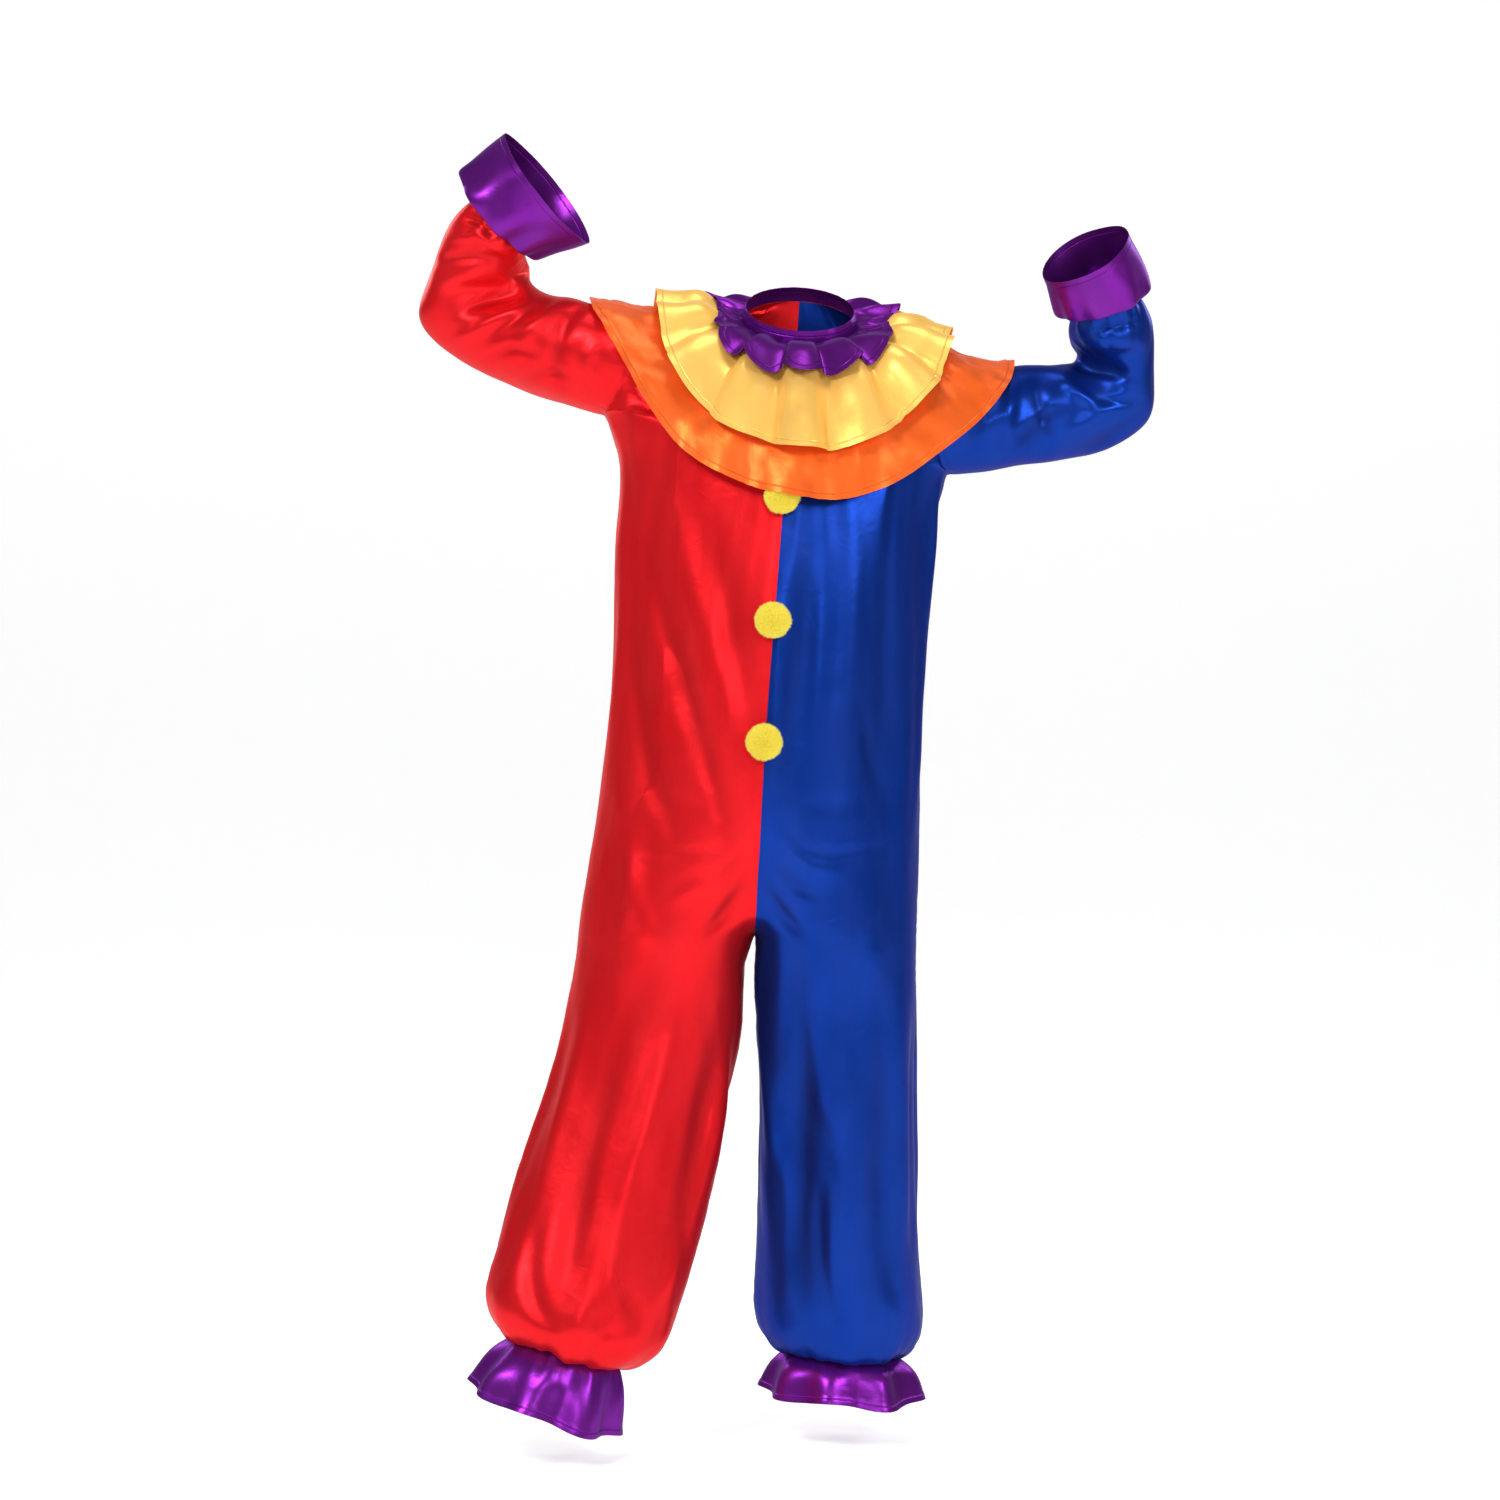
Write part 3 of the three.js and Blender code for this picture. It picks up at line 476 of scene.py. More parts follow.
def stand_clear(skin, below, gap):
    """Lifts the points that lie in or too near to the cloth below back out of it."""
    form = bmesh.new()
    form.from_mesh(below)
    tree = BVHTree.FromBMesh(form)
    moved = skin.co.copy()
    for index, co in enumerate(skin.co):
        place = Vector(co)
        spot, normal = tree.find_nearest(place, 0.03)[:2]
        if spot is None:
            continue
        short = gap[index] - (place - spot).dot(normal)
        if short > 0:
            moved[index] = place + normal * short
    form.free()
    place_points(skin.obj.data, moved)
    skin.read()


def along_edges(co, edges, parts):
    """Points spread evenly along a set of edges."""
    shares = (np.arange(parts) / parts)[:, None, None]
    a = co[edges[:, 0]][None]
    b = co[edges[:, 1]][None]
    return (a + (b - a) * shares).reshape(-1, 3)


def nearest(co, targets):
    """For each point its nearest target point and its distance."""
    tree = KDTree(len(targets))
    for index, target in enumerate(targets):
        tree.insert(target, index)
    tree.balance()
    found = [tree.find(point) for point in co]
    return np.array([f[0] for f in found]), np.array([f[2] for f in found])


def distance_from(skin, lines, parts):
    """How far each point of a skin is from a set of edges."""
    return nearest(skin.co, along_edges(skin.co, lines, parts))[1]


def angle_round(co):
    """The angle of each point round the neck, 0 at the front."""
    return np.arctan2(co[:, 0], -co[:, 1])


def hem_relief(from_hem):
    """The height of a rolled hem along an open edge."""
    return HEM_RISE * (1 - smooth((from_hem - HEM_WIDTH) / 0.003))


def noise_at(co, size, seed):
    """Soft noise between about -1 and 1, with lumps of a size in metres, one number or one for each axis."""
    scaled = co / np.asarray(size) + seed
    return np.array([noise.noise(point) for point in scaled])


def curve_through(points):
    """A smooth path through a few points."""
    steps = 14
    pts = np.array(points, dtype=float)
    ends = np.vstack([2 * pts[0] - pts[1], pts, 2 * pts[-1] - pts[-2]])
    path = []
    for i in range(len(pts) - 1):
        a, b, c, d = ends[i : i + 4]
        for step in range(steps):
            t = step / steps
            square = (2 * a - 5 * b + 4 * c - d) * t**2
            cube = (3 * b - a - 3 * c + d) * t**3
            path.append(0.5 * (2 * b + (c - a) * t + square + cube))
    path.append(pts[-1])
    return np.array(path)


def photo_place(pixel):
    """Metres across and up of a place in the photograph."""
    x = (pixel[0] - ORIGIN_PIXEL[0]) * METRES_PER_PIXEL
    z = (ORIGIN_PIXEL[1] - pixel[1]) * METRES_PER_PIXEL
    return x, z


def path_distance(flat, path):
    """Signed distance of flat points from a path, and how far along it each is, from 0 to 1."""
    best = np.full(len(flat), 9.0)
    side = np.zeros(len(flat))
    along = np.zeros(len(flat))
    count = len(path) - 1
    for i in range(count):
        a = path[i]
        step = path[i + 1] - a
        length = max(float(step @ step), 1e-12)
        offset = flat - a
        t = np.clip((offset @ step) / length, 0.0, 1.0)
        gap = offset - t[:, None] * step
        distance = np.hypot(gap[:, 0], gap[:, 1])
        closer = distance < best
        turn = step[0] * offset[:, 1] - step[1] * offset[:, 0]
        best = np.where(closer, distance, best)
        side = np.where(closer, np.sign(turn), side)
        along = np.where(closer, (i + t) / count, along)
    return best * side, along


def fold_height(flat, path, wide, high, lean):
    """Height of one soft fold: a crown or trough along a path with a shallow return on both sides."""
    low = path.min(0) - 4 * wide
    top = path.max(0) + 4 * wide
    close = np.all((flat > low) & (flat < top), axis=1)
    height = np.zeros(len(flat))
    if not close.any():
        return height
    distance, along = path_distance(flat[close], path)
    width = wide * (1.0 + lean * np.tanh(distance / wide))
    across = (distance / width) ** 2
    profile = (1.0 - FOLD_RETURN * across) * np.exp(-FOLD_FALL * across)
    ends = smooth(along / FOLD_ENDS) * smooth((1.0 - along) / FOLD_ENDS)
    height[close] = high * profile * ends
    return height


# The sides that folds are placed on: the two axes that the paths are drawn on, and the way that each faces.
FACES = {
    "front": ((0, 2), (0, -1, 0)),
    "back": ((0, 2), (0, 1, 0)),
    "right": ((1, 2), (-1, 0, 0)),
    "left": ((1, 2), (1, 0, 0)),
}


def folds_on(skin, folds):
    """The height of a table of folds on the side of the surface that each names."""
    height = np.zeros(len(skin.co))
    for face, path, wide, high, lean in folds:
        axes, direction = FACES[face]
        facing = smooth((skin.normals @ np.array(direction) + 0.05) / 0.45)
        flat = skin.co[:, axes]
        height += facing * fold_height(flat, curve_through(path), wide, high, lean)
    return height


# Folds on the front, by their places in the photograph: path, half width and height in millimetres, and
# how far the fold leans to one side.
FRONT_FOLDS = [
    # red torso: two long diagonal troughs and the ridges beside them
    ([(640, 505), (662, 600), (690, 700), (722, 800), (744, 868)], 15, -4.5, 0.3),
    ([(668, 480), (700, 600), (728, 700), (748, 800)], 17, 3.2, -0.2),
    ([(628, 560), (638, 680), (655, 780), (700, 870)], 14, -3.2, 0.2),
    ([(716, 520), (728, 610), (742, 700)], 16, -2.4, 0.2),
    ([(612, 700), (622, 800), (640, 900), (668, 960)], 15, 2.6, 0.0),
    # packing creases across the red torso
    ([(632, 700), (676, 694), (736, 703)], 6.6, -1.0, 0.0),
    ([(626, 742), (668, 750), (742, 744)], 6.1, -0.8, 0.3),
    ([(650, 662), (700, 668), (752, 661)], 5.7, -0.7, 0.0),
    ([(640, 798), (690, 804), (752, 822)], 6.8, -1.1, 0.2),
    ([(630, 846), (684, 850), (748, 846)], 6.5, -0.9, 0.0),
    ([(676, 726), (716, 722), (750, 728)], 5.3, -0.7, 0.0),
    # pulls round the crotch
    ([(690, 884), (724, 870), (752, 846)], 7, -2.6, 0.3),
    ([(700, 936), (728, 906), (754, 868)], 8, -3.0, 0.2),
    ([(664, 902), (712, 874), (750, 826)], 8, 2.0, 0.0),
    ([(824, 896), (790, 880), (764, 852)], 8, -2.6, -0.2),
    ([(812, 936), (784, 912), (762, 874)], 8, -2.6, 0.0),
    ([(848, 872), (800, 858), (768, 820)], 9, 2.0, 0.0),
    # blue torso: soft vertical folds
    ([(806, 520), (800, 620), (792, 720), (786, 810)], 15, -3.4, 0.2),
    ([(842, 510), (844, 620), (836, 740), (820, 850)], 18, 3.2, 0.0),
    ([(876, 500), (880, 620), (876, 740), (862, 860)], 14, -3.0, -0.2),
    ([(908, 540), (906, 660), (900, 780), (896, 900)], 12, 2.4, 0.0),
    ([(820, 560), (818, 660), (812, 760)], 11, 1.8, 0.2),
    ([(772, 560), (776, 680), (770, 790)], 9, 1.8, 0.0),
    ([(856, 690), (868, 760), (890, 830)], 9, -1.8, 0.2),
    ([(790, 700), (832, 694), (884, 702)], 6.1, -0.8, 0.0),
    ([(786, 800), (830, 806), (890, 798)], 6.5, -0.9, 0.2),
    ([(782, 846), (836, 852), (900, 842)], 6.1, -0.9, 0.0),
    # red leg: long folds from the hip to the gathers, ending in a hook over the elastic
    ([(700, 950), (668, 1050), (640, 1150), (622, 1250), (610, 1310)], 15, 4.8, 0.2),
    ([(660, 930), (622, 1040), (592, 1150), (572, 1250), (556, 1318)], 16, -4.6, 0.2),
    ([(612, 940), (580, 1050), (552, 1150), (528, 1240)], 14, 4.0, 0.0),
    ([(730, 980), (710, 1080), (690, 1180), (668, 1280)], 13, -4.0, -0.2),
    ([(736, 1040), (722, 1120), (706, 1200)], 9, 2.4, 0.0),
    ([(586, 980), (562, 1060), (534, 1140), (512, 1220)], 11, -2.8, 0.2),
    ([(648, 1120), (630, 1200), (630, 1270), (652, 1310)], 10, -3.0, 0.2),
    ([(560, 1160), (540, 1230), (545, 1280), (574, 1306)], 10, -2.8, 0.0),
    ([(682, 1180), (676, 1250), (660, 1300)], 9, 2.8, 0.0),
    # blue leg
    ([(800, 960), (802, 1060), (800, 1160), (800, 1260), (806, 1316)], 14, -4.2, 0.2),
    ([(838, 940), (842, 1040), (838, 1150), (836, 1260), (840, 1320)], 16, 4.6, 0.0),
    ([(874, 930), (878, 1040), (876, 1150), (878, 1250), (880, 1310)], 13, -3.8, -0.2),
    ([(902, 980), (902, 1080), (904, 1180), (904, 1270)], 11, 3.0, 0.0),
    ([(772, 980), (772, 1080), (768, 1180), (770, 1280)], 11, 3.0, 0.0),
    ([(820, 1140), (818, 1220), (826, 1290), (850, 1322)], 9, -2.6, 0.0),
    ([(892, 1180), (888, 1260), (896, 1310)], 8, -2.2, 0.0),
    # right sleeve: drags from the armpit and folds in the bend of the elbow
    ([(596, 300), (566, 330), (556, 372), (574, 404)], 8, -3.6, 0.2),
    ([(584, 292), (540, 326), (512, 366)], 9, 3.0, 0.0),
    ([(604, 340), (590, 368), (604, 398)], 7, 3.0, 0.0),
    ([(560, 300), (516, 322), (474, 352)], 8, -3.2, 0.2),
    ([(536, 292), (492, 300), (446, 320)], 8, -4.2, 0.2),
    ([(536, 284), (486, 278), (424, 286)], 9, 3.6, 0.0),
    ([(530, 268), (476, 262), (420, 262)], 7, -3.4, 0.0),
    ([(528, 252), (482, 244), (436, 238)], 7, 2.8, 0.0),
    ([(520, 306), (476, 332), (444, 344)], 6, 2.6, 0.0),
    ([(548, 362), (514, 352), (474, 366)], 6, -2.2, 0.0),
    ([(582, 384), (548, 376), (512, 388)], 6, -2.0, 0.0),
    ([(508, 250), (480, 228), (460, 220)], 5, -2.2, 0.0),
    ([(520, 258), (494, 252), (470, 226)], 5, 2.0, 0.0),
    # left sleeve
    ([(1000, 402), (976, 426), (968, 458)], 8, -3.4, 0.2),
    ([(1128, 396), (1086, 424), (1040, 452)], 11, 3.4, 0.0),
    ([(1146, 406), (1110, 438), (1070, 456)], 9, -2.6, 0.0),
    ([(1064, 404), (1036, 428), (1012, 462)], 9, -2.8, 0.0),
    ([(1016, 384), (1004, 424), (1010, 458)], 8, 3.0, 0.0),
    ([(1034, 376), (1040, 414), (1058, 448)], 8, -3.2, 0.0),
    ([(1050, 366), (1074, 394), (1110, 420)], 8, 3.2, 0.0),
    ([(1062, 362), (1098, 372), (1144, 382)], 8, -4.4, 0.2),
    ([(1066, 350), (1104, 350), (1148, 348)], 8, 3.6, 0.0),
    ([(1070, 342), (1108, 334), (1146, 326)], 7, -3.4, 0.0),
    ([(1078, 330), (1112, 318), (1144, 308)], 6, 2.6, 0.0),
    ([(984, 446), (1030, 440), (1084, 424)], 11, -1.4, 0.0),
    ([(1086, 400), (1120, 404), (1146, 400)], 6, -2.2, 0.0),
]

# Like folds on the back, as seen from the front through the suit.
BACK_FOLDS = [
    ([(640, 500), (652, 600), (668, 700), (700, 800)], 16, -4.2, 0.2),
    ([(676, 490), (690, 590), (700, 700), (726, 810)], 17, 3.4, 0.0),
    ([(720, 500), (724, 600), (736, 700), (742, 790)], 13, -2.8, 0.2),
    ([(618, 640), (626, 740), (640, 840), (676, 920)], 14, 3.0, 0.0),
    ([(760, 520), (764, 620), (758, 740), (752, 830)], 12, 2.4, 0.0),
    ([(800, 500), (806, 610), (800, 720), (782, 820)], 15, -3.8, 0.0),
    ([(840, 500), (846, 600), (846, 720), (832, 840)], 16, 3.6, 0.2),
    ([(884, 520), (886, 620), (876, 740), (866, 850)], 14, -3.2, 0.0),
    ([(634, 702), (690, 696), (756, 704)], 6.8, -0.9, 0.0),
    ([(628, 776), (688, 784), (750, 776)], 6.5, -1.0, 0.2),
    ([(780, 724), (836, 718), (892, 726)], 6.5, -0.9, 0.0),
    ([(774, 806), (830, 812), (890, 802)], 6.5, -0.9, 0.0),
    ([(634, 862), (690, 868), (744, 852)], 6, -1.8, 0.0),
    ([(690, 905), (724, 884), (752, 846)], 8, -3.0, 0.2),
    ([(668, 930), (712, 914), (752, 880)], 8, 2.2, 0.0),
    ([(836, 908), (798, 886), (764, 850)], 8, -3.0, 0.0),
    ([(856, 930), (808, 918), (766, 884)], 8, 2.2, 0.0),
    ([(690, 950), (662, 1060), (634, 1160), (612, 1270)], 15, -4.4, 0.0),
    ([(640, 940), (606, 1050), (580, 1160), (560, 1280)], 16, 4.6, 0.2),
    ([(596, 950), (566, 1050), (538, 1150), (520, 1240)], 13, -3.6, 0.0),
    ([(728, 980), (706, 1090), (684, 1190), (660, 1290)], 13, 3.8, 0.0),
    ([(620, 1150), (602, 1230), (610, 1290), (636, 1314)], 10, -3.0, 0.0),
    ([(780, 960), (778, 1060), (776, 1180), (780, 1290)], 13, -3.8, 0.0),
    ([(818, 940), (820, 1050), (816, 1170), (820, 1300)], 15, 4.4, 0.0),
    ([(858, 930), (862, 1050), (860, 1160), (862, 1290)], 14, -4.2, 0.2),
    ([(894, 960), (896, 1060), (898, 1170), (896, 1270)], 12, 3.2, 0.0),
    ([(840, 1150), (842, 1230), (830, 1290), (812, 1320)], 9, -2.6, 0.0),
    ([(600, 320), (560, 344), (520, 380)], 9, -3.0, 0.0),
    ([(580, 300), (530, 320), (470, 350)], 9, 3.0, 0.0),
    ([(540, 296), (490, 304), (440, 326)], 8, -3.6, 0.0),
    ([(534, 276), (480, 272), (424, 276)], 8, 3.2, 0.0),
    ([(524, 256), (478, 250), (428, 250)], 7, -3.0, 0.0),
    ([(588, 376), (548, 364), (502, 376)], 7, -2.4, 0.0),
    ([(996, 400), (986, 430), (976, 460)], 8, -3.0, 0.0),
    ([(1024, 384), (1020, 420), (1030, 456)], 9, 3.0, 0.0),
    ([(1046, 368), (1070, 402), (1100, 430)], 9, -3.2, 0.0),
    ([(1064, 356), (1104, 364), (1146, 372)], 8, 3.4, 0.0),
    ([(1070, 342), (1110, 340), (1148, 336)], 7, -3.2, 0.0),
    ([(1080, 326), (1112, 316), (1142, 306)], 6, 2.4, 0.0),
]

# Folds on the outer sides, by how far forward and how high they are in metres.
SIDE_FOLDS = [
    ("right", [(-0.03, -0.30), (-0.01, -0.50), (0.02, -0.70)], 14, -3.0, 0.0),
    ("right", [(0.04, -0.36), (0.05, -0.56), (0.03, -0.76)], 13, 2.8, 0.0),
    ("right", [(-0.02, -0.86), (-0.05, -1.02), (-0.09, -1.20)], 13, 3.4, 0.0),
    ("right", [(0.04, -0.84), (0.01, -1.02), (-0.03, -1.22)], 12, -3.2, 0.0),
    ("right", [(-0.07, -0.95), (-0.11, -1.08), (-0.15, -1.24)], 11, -3.0, 0.0),
    ("left", [(-0.04, -0.32), (-0.03, -0.52), (-0.04, -0.72)], 13, 2.8, 0.0),
    ("left", [(0.03, -0.34), (0.04, -0.54), (0.02, -0.76)], 14, -3.0, 0.0),
    ("left", [(-0.04, -0.86), (-0.03, -1.04), (-0.04, -1.24)], 13, -3.4, 0.0),
    ("left", [(0.02, -0.84), (0.03, -1.02), (0.02, -1.25)], 12, 3.4, 0.0),
    ("left", [(0.07, -0.92), (0.07, -1.06), (0.08, -1.24)], 11, -2.8, 0.0),
]


def body_folds():
    """All the placed folds of the body, in metres."""
    folds = []
    for face, table in (("front", FRONT_FOLDS), ("back", BACK_FOLDS)):
        for path, wide, high, lean in table:
            on_sleeve = path[1][0] < 605 or path[1][0] > 965
            depth = high * (SLEEVE_DEPTH if on_sleeve and path[1][1] < 480 else BODY_DEPTH)
            folds.append((face, [photo_place(p) for p in path], wide / 1000, depth / 1000, lean))
    for face, path, wide, high, lean in SIDE_FOLDS:
        folds.append((face, path, wide / 1000, high / 1000, lean))
    return folds


def pucker_height(skin, lines, high, reach, pitch, seed):
    """Short pulls across a seam, and the dip of the seam itself."""
    spots, distance = nearest(skin.co, along_edges(skin.co, lines, 3))
    ripple = noise_at(spots, pitch, seed)
    patches = 0.55 + 0.45 * noise_at(spots, pitch * 7, seed + 5.0)
    fall = np.exp(-((distance / reach) ** 2)) * (1 - 0.6 * np.exp(-((distance / 0.002) ** 2)))
    dip = np.exp(-((distance / 0.0028) ** 2))
    return high * ripple * patches * fall - 0.0011 * dip


def ring_gathers(skin, lines, count, high, reach, seed):
    """Gathers that run out from an elastic edge, uneven in width and length."""
    spots, distance = nearest(skin.co, along_edges(skin.co, lines, 3))
    around = spots - skin.co[lines.ravel()].mean(0)
    ring = around / np.maximum(np.linalg.norm(around, axis=1), 1e-9)[:, None]
    wave = noise_at(ring, math.pi / count, seed)
    broad = noise_at(ring, 2.2 * math.pi / count, seed + 9.0)
    lengths = reach * (1.0 + 0.55 * noise_at(ring, 1.6 * math.pi / count, seed + 3.0))
    near = np.exp(-((distance / lengths) ** 2))
    far = np.exp(-((distance / (2.1 * lengths)) ** 2))
    start = smooth(distance / 0.004)
    return high * start * (1.5 * wave * near + 0.9 * broad * (far - 0.4 * near))


def store(mesh, name, values):
    """Keeps a number for each vertex under a name that a material reads."""
    layer = mesh.attributes.new(name, "FLOAT", "POINT")
    layer.data.foreach_set("value", np.ascontiguousarray(values, dtype=np.float32))


class Socket:
    """A shader value that can be used in Python expressions."""

    def __init__(self, tree, link):
        self.tree = tree
        self.link = link

    def math(self, operation, *others):
        """A Math node on this value."""
        return self.tree.add("ShaderNodeMath", {"operation": operation}, [self, *others])

    def __add__(self, other):
        return self.math("ADD", other)

    def __sub__(self, other):
        return self.math("SUBTRACT", other)

    def __rsub__(self, other):
        return self.tree.add("ShaderNodeMath", {"operation": "SUBTRACT"}, [other, self])

    def __mul__(self, other):
        return self.math("MULTIPLY", other)

    __radd__ = __add__
    __rmul__ = __mul__


class Shader:
    """The node tree of one material."""

    def __init__(self, name):
        self.material = bpy.data.materials.new(name)
        self.material.use_nodes = True
        self.tree = self.material.node_tree
        self.tree.nodes.clear()

    def add(self, kind, settings=None, values=(), output=0):
        """Adds a node: its settings first, then the values or links of its sockets."""
        node = self.tree.nodes.new(kind)
        for key, value in (settings or {}).items():
            setattr(node, key, value)
        pairs = values.items() if isinstance(values, dict) else enumerate(values)
        for key, value in pairs:
            socket = node.inputs[key]
            if isinstance(value, Socket):
                self.tree.links.new(value.link, socket)
            else:
                socket.default_value = value
        return Socket(self, node.outputs[output])

    def mixed(self, share, a, b):
        """Two colours mixed by a share."""
        return self.add("ShaderNodeMix", {"data_type": "RGBA"}, {"Factor": share, 6: a, 7: b}, output=2)

    def finish(self, values):
        """Adds the surface and the output, and gives the material."""
        surface = self.add("ShaderNodeBsdfPrincipled", {}, values)
        output = self.tree.nodes.new("ShaderNodeOutputMaterial")
        self.tree.links.new(surface.link, output.inputs["Surface"])
        return self.material


def shaded(colour, share):
    """A colour made darker."""
    return (colour[0] * share, colour[1] * share, colour[2] * share, 1.0)


def paler(colour, share):
    """A colour mixed with white."""
    return tuple(c + (1.0 - c) * share for c in colour) + (1.0,)


def satin(name, colour, metal, rough, depth, pale):
    """Glossy polyester satin: long floats down the cloth, crossed by a fine weft, with a sewn hem, and
    painted shade that darkens it in the folds.
    """
    shader = Shader(name)
    place = shader.add("ShaderNodeTexCoord", output=3)
    floats = shader.add("ShaderNodeMapping", {}, {"Vector": place, "Scale": (2600, 2600, 520)})
    thread = shader.add("ShaderNodeTexNoise", {}, {"Vector": floats, "Scale": 1.0, "Detail": 2.0})
    wefts = shader.add("ShaderNodeMapping", {}, {"Vector": place, "Scale": (300, 300, 1900)})
    weft = shader.add("ShaderNodeTexNoise", {}, {"Vector": wefts, "Scale": 1.0, "Detail": 1.0})
    slubs = shader.add("ShaderNodeMapping", {}, {"Vector": place, "Scale": (26, 26, 7)})
    cloud = shader.add("ShaderNodeTexNoise", {}, {"Vector": slubs, "Scale": 1.0, "Detail": 4.0})
    crumple = shader.add(
        "ShaderNodeTexNoise", {}, {"Vector": place, "Scale": 42.0, "Detail": 3.0, "Distortion": 0.8}
    )
    fold = shader.add("ShaderNodeAttribute", {"attribute_name": "hollow"}, output=2)
    edge = shader.add("ShaderNodeAttribute", {"attribute_name": "edge"}, output=2)
    line = (edge - HEM_STITCH).math("ABSOLUTE")
    stitch = shader.add(
        "ShaderNodeMapRange",
        {},
        {"Value": line, "From Min": 0.0003, "From Max": 0.0011, "To Min": 1.0, "To Max": 0.0},
    )
    # Painted shade: the colour is darkened in the folds, the more the further down in them each point lies.
    shaded_in_folds = shader.mixed(fold, (*colour, 1.0), shaded(colour, depth))
    tone = shader.mixed(cloud * 0.35, shaded_in_folds, paler(colour, pale))
    worked = shader.mixed(stitch * 0.35, tone, shaded(colour, 0.5))
    height = thread * 0.5 + weft * 0.5
    weave = shader.add("ShaderNodeBump", {}, {"Strength": 0.06, "Distance": 0.0004, "Height": height})
    soft = shader.add(
        "ShaderNodeBump", {}, {"Strength": 0.32, "Distance": 0.0012, "Height": crumple, "Normal": weave}
    )
    sewn = shader.add(
        "ShaderNodeBump",
        {"invert": True},
        {"Strength": 0.7, "Distance": 0.0006, "Height": stitch, "Normal": soft},
    )
    gloss = cloud * 0.14 + (rough - 0.07) + fold * 0.06
    return shader.finish(
        {
            "Base Color": worked,
            "Metallic": metal,
            "Roughness": gloss,
            "Specular IOR Level": 0.5,
            "Specular Tint": paler(colour, 0.15),
            "Anisotropic": 0.5,
            "Sheen Weight": 0.06,
            "Sheen Roughness": 0.3,
            "Sheen Tint": paler(colour, 0.2),
            "Normal": sewn,
        }
    )


def yarn(name, colour):
    """Cut acrylic yarn: matt, with painted shade that darkens the roots, small shifts of tone from tuft to
    tuft, and a faint painted glow.
    """
    shader = Shader(name)
    tip = shader.add("ShaderNodeAttribute", {"attribute_name": "tip"}, output=2)
    shift = shader.add("ShaderNodeAttribute", {"attribute_name": "shift"}, output=2)
    place = shader.add("ShaderNodeTexCoord", output=3)
    fibre = shader.add("ShaderNodeTexNoise", {}, {"Vector": place, "Scale": 2400.0, "Detail": 2.0})
    # Painted shade: each tuft is darker towards its root, deep in the pile where shade falls.
    root = shader.mixed(tip, shaded(colour, 0.66), (*colour, 1.0))
    tone = shader.mixed(shift * 0.3, root, paler(colour, 0.3))
    fuzz = shader.add("ShaderNodeBump", {}, {"Strength": 0.3, "Distance": 0.0004, "Height": fibre})
    return shader.finish(
        {
            "Base Color": tone,
            "Roughness": shift * 0.1 + 0.75,
            "Specular IOR Level": 0.25,
            # Painted light: the yarn glows faintly in its own colour, though it is no lamp, to look brighter.
            "Emission Color": (*colour, 1.0),
            "Emission Strength": 0.13,
            "Sheen Weight": 0.5,
            "Sheen Roughness": 0.5,
            "Sheen Tint": paler(colour, 0.5),
            "Normal": fuzz,
        }
    )


# How each satin shines: how metallic, how rough, how dark its painted shade in the folds is and how pale its
# highlights are.
SATINS = {
    "red": (0.55, 0.36, 0.72, 0.03),
    "blue": (0.72, 0.35, 0.6, 0.03),
    "purple": (0.72, 0.31, 0.5, 0.05),
    "yellow": (0.3, 0.31, 0.72, 0.2),
    "orange": (0.3, 0.34, 0.75, 0.06),
}

# The finishes and the meshes that later steps use again.
MADE = {}


def finish_of(slot):
    """The material of one of the record's slots, made once."""
    if slot not in MADE:
        colour, kind = slot.split("_")
        shade = tuple(getattr(bpy.context.scene.clown_colours, colour))
        name = colour + " " + kind
        MADE[slot] = satin(name, shade, *SATINS[colour]) if kind == "satin" else yarn(name, shade)
    return MADE[slot]


def cloth_piece(obj, node, slot):
    """Gives a finished skin its thickness, finish and place in the frame."""
    sizes = bpy.context.scene.clown_sizes
    obj.data.materials.clear()
    obj.data.materials.append(finish_of(slot))
    obj.data.polygons.foreach_set("material_index", np.zeros(len(obj.data.polygons), dtype=np.int32))
    apply_modifier(obj, "SOLIDIFY", thickness=sizes.cloth, offset=-1.0, use_rim=True)
    only(obj)
    bpy.ops.object.shade_smooth_by_angle(angle=SHARP)
    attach(obj, "root")
    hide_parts(node)


def hollows(height, scale):
    """How far down in the folds each point lies, from 0 to 1, for the painted shade that darkens the colour
    there.
    """
    return np.clip(-np.asarray(height) / scale, 0.0, 1.0)


class ClownSizes(bpy.types.PropertyGroup):
    """Sizes of the cloth and its finish"""

    cloth: bpy.props.FloatProperty(
        name="Cloth thickness", description="Thickness of the satin", default=0.0007, unit="LENGTH"
    )
    folds: bpy.props.FloatProperty(
        name="Depth of the folds", description="Scale of all placed folds", default=1.0, min=0.0, max=1.5
    )
    gathers: bpy.props.FloatProperty(
        name="Depth of the gathers",
        description="Scale of the gathers at the elastics",
        default=1.0,
        min=0.0,
        max=1.5,
    )
    pile: bpy.props.FloatProperty(
        name="Pile length", description="Length of the pompoms' cut yarn", default=0.0062, unit="LENGTH"
    )


